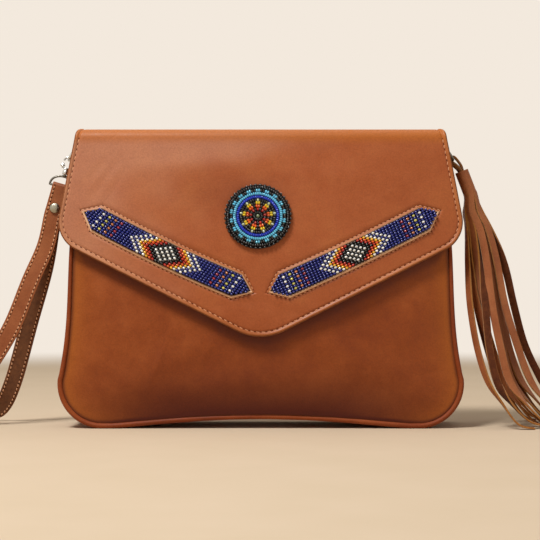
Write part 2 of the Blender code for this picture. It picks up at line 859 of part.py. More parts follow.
def make_tab_and_ring(hand, side, parent_ring):
    bar = ring_bar()
    fold = RING_WIRE + GAP + TAB_THICKNESS / 2
    inner = [
        Vector((gusset_x(z, TAB_WIDTH / 2) + GAP + TAB_THICKNESS / 2, z))
        for z in (TAB_FOOT, (TAB_FOOT + RING_HEIGHT) / 2, RING_HEIGHT)
    ]
    bend = [
        Vector((bar.x - fold * math.cos(math.pi * i / 8), bar.z + fold * math.sin(math.pi * i / 8)))
        for i in range(1, 9)
    ]
    layer = TAB_THICKNESS + GAP
    outer = [
        Vector((gusset_x(z, TAB_WIDTH / 2) + GAP + TAB_THICKNESS / 2 + layer, z))
        for z in (RING_HEIGHT - 4 * RING_WIRE - GAP, (TAB_FOOT + RING_HEIGHT) / 2, TAB_FOOT)
    ]
    path = inner + bend + outer

    def place(u, v):
        point = at(path, u)
        return Vector((side * point.x, TAB_WIDTH * (v - 0.5), point.y))

    sheet(f"{hand}_tab", place, len(path) - 1, 1, TAB_THICKNESS, leather, bag_root, offset=0.0)

    down = Vector((side * math.sin(RING_TILT), 0.0, -math.cos(RING_TILT)))
    start = Vector((side * bar.x, 0.0, bar.z))
    across = Vector((0.0, 1.0, 0.0))
    points = [start + across * RING_HALF_WIDTH * t for t in (-0.45, 0.45)]
    for i in range(13):
        angle = math.pi * i / 12
        points.append(
            start
            + across * RING_HALF_WIDTH * math.cos(angle)
            + down * RING_DROP * max(0.0, math.sin(angle)) ** 0.7
        )
    tube(f"{hand}_ring", points, RING_WIRE, steel, parent_ring, closed=True)


# Swivel clasp


def clasp_axes():
    """The left clasp's own directions: down its axis, and across it to the viewer's left."""
    down = Vector((-math.sin(CLASP_TILT), 0.0, -math.cos(CLASP_TILT)))
    across = Vector((-math.cos(CLASP_TILT), 0.0, math.sin(CLASP_TILT)))
    return down, across


def clasp_point(u, w, y=0.0):
    """A point on the left clasp: u across it, w down its axis from the ring's wire."""
    end = ring_end()
    down, across = clasp_axes()
    return Vector((-end.x, y, end.z)) + across * u + down * w


def make_clasp():
    middle = HOOK_SAG
    arc = [
        clasp_point(
            -(HOOK_RADIUS + HOOK_WIRE) * math.cos(math.radians(angle)),
            middle - (HOOK_RADIUS + HOOK_WIRE) * math.sin(math.radians(angle)),
        )
        for angle in range(0, 181, 20)
    ]
    reach = HOOK_RADIUS + HOOK_WIRE
    root = [clasp_point(-BARREL_RADIUS * 0.4, BARREL_TOP + 0.0015), clasp_point(-reach * 0.75, BARREL_TOP - 0.001)]
    hook = as_mesh(tube("hook_wire", root + arc, HOOK_WIRE, steel, clasp_pivot))
    hook.data.materials.clear()
    helper(hook)

    turned_barrel = [
        (0.0, 0.0),
        (BARREL_RADIUS * 0.8, 0.0),
        (BARREL_RADIUS, -BARREL_RADIUS * 0.3),
        (BARREL_RADIUS, BARREL_RADIUS * 0.3 - BARREL_LENGTH),
        (BARREL_RADIUS * 0.8, -BARREL_LENGTH),
        (SWIVEL_POST + GAP, -BARREL_LENGTH),
        (SWIVEL_POST + GAP, -BARREL_LENGTH + SWIVEL_POST_DEPTH + GAP),
        (0.0, -BARREL_LENGTH + SWIVEL_POST_DEPTH + GAP),
    ]
    mount = pivot("barrel_mount", clasp_point(0.0, BARREL_TOP), clasp_pivot)
    mount.rotation_euler = (0.0, CLASP_TILT, 0.0)
    barrel = turned("clasp_hook", turned_barrel, 16, steel, mount)
    combine(barrel, hook, "UNION")

    lever_foot = clasp_point(reach * 0.92, BARREL_TOP + 0.0006)
    lever_tip = clasp_point(reach, middle + 2 * HOOK_WIRE + GAP)
    points = [lever_foot.lerp(lever_tip, i / 8) for i in range(9)]
    lever = tube("clasp_lever", points, HOOK_WIRE, steel, lever_pivot)
    swell = (1.0, 1.0, 1.3, 2.0, 2.3, 2.0, 1.3, 1.0, 1.0)
    for point, size in zip(lever.data.splines[0].points, swell):
        point.radius = size

    eye = []
    for i in range(15):
        angle = math.pi * i / 14
        height = (EYE_BAR - EYE_TOP) * math.sin(angle) ** 0.8
        eye.append(clasp_point(EYE_HALF_WIDTH * math.cos(angle), EYE_BAR - height))
    loop = as_mesh(tube("eye_wire", eye, EYE_WIRE, steel, swivel_pivot, closed=True))
    loop.data.materials.clear()
    helper(loop)
    post_length = EYE_TOP - BARREL_TOP - BARREL_LENGTH + SWIVEL_POST_DEPTH
    post_mount = pivot("post_mount", clasp_point(0.0, EYE_TOP), swivel_pivot)
    post_mount.rotation_euler = (0.0, CLASP_TILT, 0.0)
    collar = EYE_TOP - BARREL_TOP - BARREL_LENGTH - GAP
    post = turned(
        "clasp_swivel",
        [
            (0.0, post_length),
            (SWIVEL_POST, post_length),
            (SWIVEL_POST, collar),
            (SWIVEL_POST * 2, collar),
            (SWIVEL_POST * 2, collar - SWIVEL_POST),
            (SWIVEL_POST, 0.0),
            (0.0, 0.0),
        ],
        12, steel, post_mount,
    )
    combine(post, loop, "UNION")


# Wrist strap


def strap_line():
    """The strap's middle line and the direction of its width, from its hidden end, over the eye's bar,
    down the front, round the loop on the table and up the back to the rivet. The loop's points are in
    loop sizes, beside the rivet and above the table, with the width's tilt in degrees."""
    down, across = clasp_axes()
    layer = STRAP_THICKNESS + GAP
    fold = EYE_WIRE + GAP + STRAP_THICKNESS / 2

    def near(w, y):
        return clasp_point(0.0, EYE_BAR + w, y)

    start = [near(RIVET_DISTANCE * k, 0.0) for k in (1.4, 1.0, 0.65)] + [near(RIVET_DISTANCE * 0.3, fold * 0.8)]
    bend = [
        near(-fold * math.sin(math.pi * i / 8), fold * math.cos(math.pi * i / 8)) for i in range(9)
    ]
    front = [near(RIVET_DISTANCE * k, -layer) for k in (0.4, 1.0, 1.4)]
    loop = [
        ((-0.051, -0.026, 1.209), 19),
        ((-0.151, -0.053, 0.978), 22),
        ((-0.276, -0.079, 0.680), 25),
        ((-0.413, -0.097, 0.441), 33),
        ((-0.530, -0.097, 0.280), 42),
        ((-0.635, -0.070, 0.163), 48),
        ((-0.703, 0.000, 0.088), 52),
        ((-0.721, 0.085, 0.062), 52),
        ((-0.668, 0.185, 0.054), 48),
        ((-0.573, 0.265, 0.052), 42),
        ((-0.433, 0.255, 0.079), 33),
        ((-0.318, 0.170, 0.270), 24),
        ((-0.189, 0.105, 0.701), 18),
        ((-0.079, 0.055, 1.074), 17),
    ]
    back = [near(RIVET_DISTANCE * k, layer) for k in (1.5, 1.0, 0.6)]
    points = start + bend + front
    widths = [across] * len(points)
    for point, tilt in loop:
        points.append(Vector((clasp_point(0.0, EYE_BAR + RIVET_DISTANCE).x, 0.0, 0.0)) + Vector(point) * LOOP_SIZE)
        widths.append(Vector((-math.cos(math.radians(tilt)), 0.0, math.sin(math.radians(tilt)))))
    return points + back, widths + [across] * len(back), len(start) + len(bend)


def make_strap():
    points, widths, folded = strap_line()
    steps = 3
    line = points[:folded] + curve_through(points[folded:], steps)
    turns = widths[:folded] + curve_through(widths[folded:], steps)
    bends = resampled_rows(line, turns, 58, folded)

    def place(u, v):
        point, width = bends[round(u * (len(bends) - 1))]
        return point + width * STRAP_WIDTH * (v - 0.5)

    strap = sheet(
        "wrist_strap", place, len(bends) - 1, 1, STRAP_THICKNESS, strap_leather, strap_pivot, offset=0.0
    )
    rivet_place = clasp_point(0.0, EYE_BAR + RIVET_DISTANCE)
    stack = (STRAP_THICKNESS + GAP) * 1.5
    bore = bmesh.new()
    bmesh.ops.create_cone(
        bore, cap_ends=True, segments=16, radius1=RIVET_POST + GAP, radius2=RIVET_POST + GAP, depth=6 * stack
    )
    data = bpy.data.meshes.new("rivet_bore")
    bore.to_mesh(data)
    bore.free()
    cutter = bpy.data.objects.new("rivet_bore", data)
    cutter.location = rivet_place
    cutter.rotation_euler = (math.pi / 2, 0.0, 0.0)
    bag.objects.link(cutter)
    combine(strap, helper(cutter), "DIFFERENCE")

    mount = pivot("rivet_mount", rivet_place, strap_pivot)
    mount.rotation_euler = (math.pi / 2, 0.0, 0.0)
    dome = [
        (RIVET_HEAD * math.sin(math.pi / 2 * i / 5), stack + GAP + RIVET_DOME * math.cos(math.pi / 2 * i / 5))
        for i in range(6)
    ]
    washer = -stack - GAP
    turned(
        "strap_rivet",
        dome
        + [
            (RIVET_POST, stack + GAP),
            (RIVET_POST, washer),
            (RIVET_WASHER, washer),
            (RIVET_WASHER, washer - RIVET_WASHER_THICKNESS),
            (0.0, washer - RIVET_WASHER_THICKNESS),
        ],
        20, nickel, mount,
    )


def resampled_rows(line, turns, count, fixed):
    """Pairs of point and width direction: the first ones as they are, the rest in equal steps."""
    rows = list(zip(line[:fixed], turns[:fixed]))
    rest, rest_turns = line[fixed:], turns[fixed:]
    lengths = [0.0]
    for a, b in zip(rest, rest[1:]):
        lengths.append(lengths[-1] + (b - a).length)
    index = 0
    for i in range(count + 1):
        target = lengths[-1] * i / count
        while index < len(rest) - 2 and lengths[index + 1] < target:
            index += 1
        share = (target - lengths[index]) / (lengths[index + 1] - lengths[index])
        point = rest[index].lerp(rest[index + 1], share)
        rows.append((point, rest_turns[index].lerp(rest_turns[index + 1], share).normalized()))
    return rows


# Tassel


def head_axes():
    """The head's directions: down its axis, to the right and towards the viewer."""
    down = Vector((math.sin(HEAD_TILT), 0.0, -math.cos(HEAD_TILT)))
    right = Vector((math.cos(HEAD_TILT), 0.0, math.sin(HEAD_TILT)))
    return down, right, Vector((0.0, -1.0, 0.0))


# How far right each strand swings, from 0 to 1, and where across the table it lands, in fringe sizes
STRANDS = (
    (0.86, -0.075),
    (0.54, -0.210),
    (0.33, -0.255),
    (0.00, -0.300),
    (0.18, 0.270),
    (0.60, 0.150),
    (1.00, -0.030),
    (0.72, -0.120),
    (0.43, -0.165),
)
# Down the fringe, in fringe sizes: the height, the leftmost and the rightmost strand beside the
# head's top, and the share of the way from the head to the landing place
FRINGE = (
    (1.400, 0.005, 0.135, 0.05),
    (1.220, 0.012, 0.225, 0.15),
    (0.850, 0.032, 0.325, 0.35),
    (0.540, 0.080, 0.425, 0.60),
    (0.280, 0.190, 0.570, 0.85),
    (0.110, 0.330, 0.690, 0.97),
    (0.021, 0.530, 0.755, 1.00),
    (0.010, 0.760, 0.797, 1.00),
)


def head_top():
    return ring_end() + Vector((HEAD_OFFSET, 0.0, -HEAD_DROP))


def make_tassel():
    down, right, front = head_axes()
    strand_count = len(STRANDS)
    columns = 3
    pitch = STRAND_THICKNESS + GAP
    outer = HEAD_RADIUS - STRAND_THICKNESS / 2

    def roll(share):
        angle = HEAD_START + 2 * math.pi * HEAD_TURNS * share
        radius = outer - pitch * HEAD_TURNS * share
        spoke = right * math.cos(angle) + front * math.sin(angle)
        tangent = front * math.cos(angle) - right * math.sin(angle)
        return spoke * radius, tangent

    work = bmesh.new()
    total = strand_count * columns
    rows = []
    for drop in (0.0, HEAD_LENGTH / 2, HEAD_LENGTH):
        rows.append([work.verts.new(head_top() + down * drop + roll(i / total)[0]) for i in range(total + 1)])
    for upper, lower in zip(rows, rows[1:]):
        for i in range(total):
            work.faces.new((upper[i], lower[i], lower[i + 1], upper[i + 1]))
    roll_length = 2 * math.pi * HEAD_TURNS * (outer - pitch * HEAD_TURNS / 2)
    strand_width = roll_length / strand_count * STRAND_TAPER
    for index, (swing, landing) in enumerate(STRANDS):
        middle, tangent = roll((index + 0.5) / strand_count)
        start = head_top() + down * HEAD_LENGTH + middle
        flat = right if tangent.dot(right) > 0 else -right
        mixed = (tangent + flat).normalized()
        level = Vector((0.0, 1.0 if mixed.y > 0 else -1.0, 0.0))
        points, widths = [start], [tangent]
        for z, low, high, share in FRINGE:
            across = head_top().x + (low + (high - low) * swing) * FRINGE_SIZE
            points.append(Vector((across, start.y + (landing * FRINGE_SIZE - start.y) * share, z * FRINGE_SIZE)))
            sideways = 1 - min(1.0, z / 0.5)
            widths.append((mixed.lerp(flat, 1 - z * FRINGE_SIZE / POUCH_HEIGHT) * (1 - sideways) + level * sideways).normalized())
        track = resampled_rows(curve_through(points, 4), curve_through(widths, 4), STRAND_STEPS, 0)
        first = rows[-1][index * columns : (index + 1) * columns + 1]
        previous = None
        for point, width in track[1:]:
            half = width * strand_width / 2
            pair = (work.verts.new(point - half), work.verts.new(point + half))
            if previous is None:
                work.faces.new((*reversed(first), pair[0], pair[1]))
            else:
                work.faces.new((previous[1], previous[0], pair[0], pair[1]))
            previous = pair
    bmesh.ops.recalc_face_normals(work, faces=work.faces)
    data = bpy.data.meshes.new("tassel")
    work.to_mesh(data)
    work.free()
    thicken(add_piece("tassel", data, strap_leather, tassel_pivot), STRAND_THICKNESS, 0.0)

    end = ring_end()
    loop_radius = RING_WIRE + GAP + LACE_RADIUS
    way = head_top() - end
    heading = math.atan2(way.z, way.x)
    spread = LACE_RADIUS + GAP / 2
    inside = head_top() + down * HEAD_LENGTH * 0.4
    bow = right * 2 * LACE_RADIUS
    points = [inside + right * spread, head_top() + right * spread - down * GAP]
    first = end + loop_radius * Vector((math.cos(heading + math.pi / 2), 0.0, math.sin(heading + math.pi / 2)))
    points += [points[-1].lerp(first, 0.35) + bow * 0.8, points[-1].lerp(first, 0.7) + bow * 0.6]
    for i in range(9):
        angle = heading + math.pi / 2 + math.pi * i / 8
        points.append(end + loop_radius * Vector((math.cos(angle), 0.0, math.sin(angle))))
    last = head_top() - right * spread - down * GAP
    points += [points[-1].lerp(last, 0.5), last, inside - right * spread]
    tube("tassel_lace", points, LACE_RADIUS, lace_leather, tassel_pivot)


# The scene is cleared, then the finishes, pivots and pieces are made

for old in list(bpy.data.objects):
    bpy.data.objects.remove(old)

bag = bpy.data.collections.new("beaded_bag")
cutters = bpy.data.collections.new("cutters")
bpy.context.scene.collection.children.link(bag)
bpy.context.scene.collection.children.link(cutters)

leather = finish("tan_leather", "#A85C38", 0.5)
piping_leather = finish("piping_leather", "#9A5030", 0.5)
strap_leather = finish("strap_leather", "#9C5634", 0.55)
lace_leather = finish("suede_lace", "#A8743C", 0.85)
lining_cloth = finish("flap_lining_leather", "#8C5232", 0.8)
backing_felt = finish("black_felt", "#141416", 0.95)
steel = finish("bright_steel", "#C9CBCC", 0.25, 1.0)
nickel = finish("nickel", "#B9B5A6", 0.3, 1.0)
snap_metal = finish("snap_steel", "#A8A8A4", 0.35, 1.0)
bead_black = finish("black_glass_bead", "#101114", 0.15)
bead_blue = finish("navy_glass_bead", "#1B2C86", 0.15)
bead_deep_blue = finish("royal_glass_bead", "#2450B4", 0.15)
bead_pale_blue = finish("sky_glass_bead", "#62B6D2", 0.15)
bead_red = finish("red_glass_bead", "#B3261E", 0.15)
bead_orange = finish("orange_glass_bead", "#E2691E", 0.15)
bead_yellow = finish("yellow_glass_bead", "#E8B12A", 0.15)
bead_white = finish("white_glass_bead", "#F2F1EA", 0.15)
bead_pale_green = finish("pale_green_glass_bead", "#C9D6B4", 0.15)

bag_root = pivot("bag", (0.0, 0.0, 0.0))
flap_hinge = pivot("flap_hinge", (0.0, TOP_DEPTH / 2 + GAP, POUCH_HEIGHT + GAP / 2), bag_root)
right_bar, right_end = ring_bar(), ring_end()
left_bar = Vector((-right_bar.x, 0.0, right_bar.z))
left_end = Vector((-right_end.x, 0.0, right_end.z))
left_ring_pivot = pivot("left_ring_pivot", left_bar, bag_root)
clasp_pivot = pivot("clasp_pivot", left_end, left_ring_pivot)
lever_pivot = pivot(
    "lever_pivot", clasp_point((HOOK_RADIUS + HOOK_WIRE) * 0.92, BARREL_TOP + 0.0006), clasp_pivot
)
swivel_pivot = pivot("swivel_pivot", clasp_point(0.0, BARREL_TOP), clasp_pivot)
strap_pivot = pivot("strap_pivot", clasp_point(0.0, EYE_BAR), swivel_pivot)
right_ring_pivot = pivot("right_ring_pivot", right_bar, bag_root)
tassel_pivot = pivot("tassel_pivot", right_end, right_ring_pivot)

make_pouch()
make_flap()
make_strips()
make_rosette()
make_snap()
make_tab_and_ring("left", -1, left_ring_pivot)
make_tab_and_ring("right", 1, right_ring_pivot)
make_clasp()
make_strap()
make_tassel()
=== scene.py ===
import math
import random

import bmesh
import bpy
from mathutils import Matrix, Vector, kdtree, noise


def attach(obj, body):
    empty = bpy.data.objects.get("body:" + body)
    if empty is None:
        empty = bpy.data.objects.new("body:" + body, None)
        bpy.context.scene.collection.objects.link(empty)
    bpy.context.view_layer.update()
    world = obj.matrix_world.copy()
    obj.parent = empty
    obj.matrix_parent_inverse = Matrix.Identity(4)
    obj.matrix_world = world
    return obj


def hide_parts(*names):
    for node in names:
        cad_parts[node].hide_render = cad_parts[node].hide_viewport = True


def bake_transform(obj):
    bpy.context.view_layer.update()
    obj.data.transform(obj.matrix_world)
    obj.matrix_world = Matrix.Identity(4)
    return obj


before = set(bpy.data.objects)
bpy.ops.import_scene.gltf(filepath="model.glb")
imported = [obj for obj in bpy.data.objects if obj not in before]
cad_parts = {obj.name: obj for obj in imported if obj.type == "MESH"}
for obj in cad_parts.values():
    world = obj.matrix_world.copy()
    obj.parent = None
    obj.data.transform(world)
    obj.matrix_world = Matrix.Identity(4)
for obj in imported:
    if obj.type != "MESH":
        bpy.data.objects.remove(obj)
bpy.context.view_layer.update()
random.seed(7)
print("frame loaded")

# The camera looks straight at the front from a metre away, level with the middle of the picture.
photoView = {"place": (0.0062, -1.025, 0.1052), "lens": 100.6, "sensor": 36.0}
cameraData = bpy.data.cameras.new("photoCamera")
cameraData.lens = photoView["lens"]
cameraData.sensor_width = photoView["sensor"]
camera = bpy.data.objects.new("photoCamera", cameraData)
camera.location = photoView["place"]
camera.rotation_euler = (math.pi / 2, 0.0, 0.0)
bpy.context.scene.collection.objects.link(camera)
bpy.context.scene.camera = camera
bpy.context.scene.view_settings.view_transform = "Standard"


# Materials

def linear(hexColour):
    channels = [int(hexColour[i:i + 2], 16) / 255 for i in (1, 3, 5)]
    return tuple(c / 12.92 if c <= 0.04045 else ((c + 0.055) / 1.055) ** 2.4 for c in channels) + (1.0,)


def connect(tree, node, links):
    # Links sockets to a node's inputs. A node given as a source stands for its first output.
    for key, source in links.items():
        socket = source if isinstance(source, bpy.types.NodeSocket) else source.outputs[0]
        tree.links.new(socket, node.inputs[key])


def addNode(tree, kind, values, links, **settings):
    made = tree.nodes.new("ShaderNode" + kind)
    for key, value in settings.items():
        setattr(made, key, value)
    for key, value in values.items():
        made.inputs[key].default_value = value
    connect(tree, made, links)
    return made


def startMaterial(name, roughness, **sockets):
    # Returns the material, its nodes, its shader, and the place on the bag in millimetres.
    made = bpy.data.materials.new(name)
    made.use_nodes = True
    tree = made.node_tree
    shader = tree.nodes["Principled BSDF"]
    for key, value in {"Roughness": roughness, **sockets}.items():
        shader.inputs[key].default_value = value
    inMetres = addNode(tree, "TexCoord", {}, {}).outputs["Object"]
    place = addNode(tree, "VectorMath", {"Scale": 1000.0}, {0: inMetres}, operation="SCALE")
    return made, tree, shader, place


def colourBetween(tree, factor, *stops):
    ramp = addNode(tree, "ValToRGB", {}, {0: factor})
    while len(ramp.color_ramp.elements) < len(stops):
        ramp.color_ramp.elements.new(0.5)
    for element, (where, colour) in zip(ramp.color_ramp.elements, stops):
        element.position = where
        element.color = linear(colour)
    return ramp


def oiledLeather(name, dark, middle, light, roughness, grain, coat):
    # Vegetable-tanned hide, oiled and hand rubbed: it mottles in patches a few centimetres wide, its
    # pores are 0.5 mm apart, drawn at 0.9 mm so that they show, and it shines softly.
    made, tree, shader, place = startMaterial(
        name, roughness, **{"Coat Weight": coat, "Coat Roughness": 0.35, "Specular IOR Level": 0.24})
    here = {"Vector": place}
    patches = addNode(tree, "TexNoise", {"Scale": 1 / 52, "Detail": 4.0, "Roughness": 0.55}, here)
    clouds = addNode(tree, "TexNoise", {"Scale": 1 / 11, "Detail": 5.0, "Roughness": 0.62}, here)
    fine = addNode(tree, "TexNoise", {"Scale": 1 / 0.5, "Detail": 3.0}, here)
    pores = addNode(tree, "TexVoronoi", {"Scale": 1 / 0.9}, here, feature="SMOOTH_F1")
    both = addNode(tree, "Mix", {"Factor": 0.34}, {2: patches, 3: clouds})
    tone = colourBetween(tree, both, (0.34, dark), (0.5, middle), (0.66, light))
    # Where the hide is pulled over a seam its oil moves away and it turns lighter and more orange (on the
    # flap's fold partly a painted sheen); a painted highlight lays pale on it, and painted shade darkens it.
    for markName, colour in (("pulledOver", "#B4641E"), ("waxBloom", "#E8C0A6"), ("rubbedDark", "#470E02")):
        amount = addNode(tree, "Attribute", {}, {}, attribute_name=markName).outputs["Fac"]
        links = {"Factor": amount, 6: tone}
        tone = addNode(tree, "Mix", {7: linear(colour)}, links, data_type="RGBA").outputs[2]
    poreTone = addNode(
        tree, "MapRange", {"From Max": 0.7, "To Min": 1.05, "To Max": 0.86}, {"Value": pores})
    shaded = addNode(tree, "VectorMath", {}, {0: tone, "Scale": poreTone}, operation="SCALE")
    glossRange = {"From Min": 0.3, "From Max": 0.7, "To Min": roughness - 0.09, "To Max": roughness + 0.09}
    gloss = addNode(tree, "MapRange", glossRange, {"Value": clouds})
    # Fine creases 8 mm apart, bent by the clouds, lie under the pores.
    warped = addNode(tree, "VectorMath", {"Scale": 5.0}, {0: clouds.outputs["Color"]}, operation="SCALE")
    drawn = addNode(tree, "VectorMath", {}, {0: place, 1: warped}, operation="ADD")
    creases = addNode(tree, "TexVoronoi", {"Scale": 1 / 8}, {"Vector": drawn}, feature="DISTANCE_TO_EDGE")
    creaseDepth = addNode(tree, "MapRange", {"From Max": 0.1}, {"Value": creases})
    poreDepth = addNode(tree, "Math", {}, {0: pores, 1: fine}, operation="MULTIPLY")
    poreBump = addNode(
        tree, "Bump", {"Strength": grain, "Distance": 0.00012}, {"Height": poreDepth}, invert=True)
    under = {"Height": creaseDepth, "Normal": poreBump}
    bump = addNode(tree, "Bump", {"Strength": grain * 0.35, "Distance": 0.00015}, under)
    connect(tree, shader, {"Base Color": shaded, "Roughness": gloss, "Normal": bump})
    return made


def suede(name, dark, light, nap):
    # The flesh side of the hide, or its cut edge: dull, with short fibres 0.2 mm wide that brush into
    # lighter and darker strokes, drawn 0.4 mm wide.
    made, tree, shader, place = startMaterial(
        name, 0.92, **{"Sheen Weight": nap, "Sheen Roughness": 0.5, "Specular IOR Level": 0.2})
    here = {"Vector": place}
    strokes = addNode(tree, "TexNoise", {"Scale": 1 / 3.5, "Detail": 6.0, "Roughness": 0.7}, here)
    fibres = addNode(tree, "TexNoise", {"Scale": 1 / 0.4, "Detail": 3.0}, here)
    mixed = addNode(tree, "Mix", {"Factor": 0.35}, {2: strokes, 3: fibres})
    bump = addNode(tree, "Bump", {"Strength": 0.5, "Distance": 0.00015}, {"Height": fibres})
    tone = colourBetween(tree, mixed, (0.36, dark), (0.64, light))
    connect(tree, shader, {"Base Color": tone, "Normal": bump})
    return made


def glassBead(name, colour):
    # Opaque pressed glass: a hard bright gloss, and a tone that differs a little from bead to bead.
    made, tree, shader, place = startMaterial(name, 0.09, **{"IOR": 1.52, "Specular IOR Level": 0.75})
    tone = addNode(tree, "Attribute", {}, {}, attribute_name="beadTone").outputs["Fac"]
    shaded = addNode(tree, "VectorMath", {0: linear(colour)[:3]}, {"Scale": tone}, operation="SCALE")
    connect(tree, shader, {"Base Color": shaded})
    return made


def platedMetal(name, colour, roughness):
    # Nickel plate over steel: bright, with rubbed spots about a millimetre wide that blur its shine.
    made, tree, shader, place = startMaterial(
        name, roughness, **{"Metallic": 1.0, "Base Color": linear(colour)})
    rubbed = addNode(tree, "TexNoise", {"Scale": 1 / 1.2, "Detail": 5.0}, {"Vector": place})
    blurRange = {"From Min": 0.35, "From Max": 0.65, "To Min": roughness * 0.6, "To Max": roughness * 1.6}
    connect(tree, shader, {"Roughness": addNode(tree, "MapRange", blurRange, {"Value": rubbed})})
    return made


def spunThread(name, colour, shade):
    # Waxed polyester thread: a satin strand, twisted every 0.8 mm, so it shows fine slanting shade.
    made, tree, shader, place = startMaterial(name, 0.55)
    twist = addNode(
        tree, "TexWave", {"Scale": 1 / 0.8, "Distortion": 1.5}, {"Vector": place}, bands_direction="DIAGONAL")
    tone = colourBetween(tree, twist.outputs["Fac"], (0.15, shade), (0.7, colour))
    connect(tree, shader, {"Base Color": tone})
    return made


def feltedWool(name, colour):
    # Pressed wool felt: matt, with a fuzz of loose fibres 0.5 mm long.
    made, tree, shader, place = startMaterial(
        name, 0.95, **{"Sheen Weight": 0.3, "Specular IOR Level": 0.1, "Base Color": linear(colour)})
    fuzz = addNode(tree, "TexNoise", {"Scale": 1 / 0.5, "Detail": 4.0}, {"Vector": place})
    bump = addNode(tree, "Bump", {"Strength": 0.6, "Distance": 0.0002}, {"Height": fuzz})
    connect(tree, shader, {"Normal": bump})
    return made


# Hides: dark, middle and light tone, roughness, depth of grain, and how thick its finish lies.
flapLeather = oiledLeather("oiledTanLeather", "#9E5027", "#A8592F", "#B16334", 0.48, 0.6, 0.04)
# The pouch's hide is a darker, more orange copy of the flap's: painted shade and painted warm light thrown up
# from below.
shadedBodyLeather = oiledLeather("shadedTanBodyLeather", "#7C350F", "#8D4215", "#9E5020", 0.5, 0.6, 0.05)
pipingLeather = oiledLeather("skivedPipingLeather", "#74300F", "#863B14", "#984A1E", 0.56, 0.4, 0.0)
strapLeather = oiledLeather("strapLeather", "#884826", "#9C5A34", "#AE6C42", 0.5, 0.6, 0.08)
rimLeather = oiledLeather("burnishedRimLeather", "#A05628", "#B06636", "#BE7642", 0.42, 0.4, 0.12)
# Raw sides and edges: dark and light tone, and how much nap stands on them.
# The cut edges are burnished dark, and darker still as painted shade.
shadedCutEdge = suede("burnishedShadedCutEdge", "#6E3716", "#96592C", 0.1)
# The windows' pale raw edge, also laid on the top of each lower lip as a painted highlight.
windowEdgeAndLitLip = suede("rawWindowEdgeAndLitLip", "#DCA67E", "#F2CBA6", 0.1)
# The flesh side's tone is taken darker, partly as painted shade.
fleshSide = suede("leatherFleshSide", "#5A3620", "#7A4C2C", 0.2)
# A darker copy of the flesh side, for the backs of the tassel's strands: painted shade between them.
shadedFlesh = suede("shadedFleshSide", "#4A220E", "#6E3A1C", 0.1)
ochreSuede = suede("ochreSuede", "#8E5A28", "#B67A38", 0.25)
laceSuede = suede("tannedLaceSuede", "#5E3414", "#A06A34", 0.2)
liningLeather = suede("splitLiningLeather", "#74462A", "#94603C", 0.15)
# Dark needle holes: painted shade in the holes.
needleHoleShade = suede("needleHoleShade", "#2E160B", "#4A2614", 0.0)
peachThread = spunThread("waxedThread", "#EDB98E", "#BC7E54")
brightSteel = platedMetal("nickelPlatedSteel", "#D5D6D4", 0.2)
wornNickel = platedMetal("wornNickelPlate", "#A5A08F", 0.3)
# A darker copy of the nickel plate for the right ring and the swivel eye: painted shade.
shadedNickel = platedMetal("shadedNickelPlate", "#6E6A62", 0.32)
blackFelt = feltedWool("blackWoolFelt", "#15151A")
bodyHide = [shadedBodyLeather, fleshSide, shadedCutEdge]
beadFinish = {key: glassBead(glass + "Glass", colour) for key, glass, colour in (
    ("black", "black", "#0B0B0E"),
    ("navy", "navy", "#17237E"),
    ("royal", "royalBlue", "#1E3CCB"),
    ("sky", "turquoise", "#6CCBEE"),
    ("red", "red", "#B8231A"),
    ("orange", "orange", "#E6601A"),
    ("yellow", "yellow", "#F0B62A"),
    ("white", "white", "#F6F5F0"),
    ("paleGreen", "paleGreen", "#D2E0BE"),
    ("moss", "moss", "#6E7C58"),
    ("rosetteYellow", "lemon", "#F0D02C"),
    ("rose", "rose", "#A5303F"),
    ("peach", "peach", "#CF7F50"),
    ("straw", "straw", "#D6CC6A"),
)}
print("materials ready")


# Shapes are worked out in millimetres, in the bag's own frame: X to the right, Y back, Z up.

def addPiece(name, points, faces, materials, body, replaced=(), slotName=None, faceSlots=None):
    mesh = bpy.data.meshes.new(name)
    mesh.from_pydata([(p[0] / 1000, p[1] / 1000, p[2] / 1000) for p in points], [], faces)
    for material in materials:
        mesh.materials.append(material)
    if faceSlots:
        mesh.polygons.foreach_set("material_index", faceSlots)
    mesh.shade_smooth()
    piece = bpy.data.objects.new(name, mesh)
    bpy.context.scene.collection.objects.link(piece)
    if body:
        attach(piece, body)
    if replaced:
        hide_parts(*replaced)
    return piece


def thicken(piece, thickness, offset=-1.0, rounding=0.3):
    # Gives leather its thickness. The piece's first three materials are its face, back and cut edge.
    wall = piece.modifiers.new("thickness", "SOLIDIFY")
    wall.thickness = thickness / 1000
    wall.offset = offset
    wall.use_even_offset = False
    wall.material_offset = 1
    wall.material_offset_rim = 2
    soft = piece.modifiers.new("softEdge", "BEVEL")
    soft.width = rounding / 1000
    soft.segments = 3
    soft.limit_method = "ANGLE"
    soft.angle_limit = math.radians(50)
    soft.material = 2
    soft.harden_normals = False


def mark(piece, **layers):
    # Stores a value at each point under each name, for the materials.
    for name, values in layers.items():
        piece.data.attributes.new(name, "FLOAT", "POINT").data.foreach_set("value", values)


def gridFaces(across, up, loops=False):
    # Quads between (across + 1) by (up + 1) points laid row by row, or joined round if it loops.
    wide = across if loops else across + 1
    faces = []
    for j in range(up):
        for i in range(across):
            k = (i + 1) % wide
            faces.append((j * wide + i, j * wide + k, (j + 1) * wide + k, (j + 1) * wide + i))
    return faces


def flipped(faces):
    return [tuple(reversed(face)) for face in faces]


def tubeFaces(sides, rows, endless):
    # Faces between rows of points round a tube, whose ends are capped or joined to each other.
    faces = gridFaces(sides, rows - 1, loops=True)
    last = (rows - 1) * sides
    if endless:
        return faces + [(last + k, last + (k + 1) % sides, (k + 1) % sides, k) for k in range(sides)]
    return faces + [tuple(reversed(range(sides))), tuple(range(last, last + sides))]


def walk(points):
    # Distances along a line of points.
    lengths = [0.0]
    for a, b in zip(points, points[1:]):
        lengths.append(lengths[-1] + (b - a).length)
    return lengths


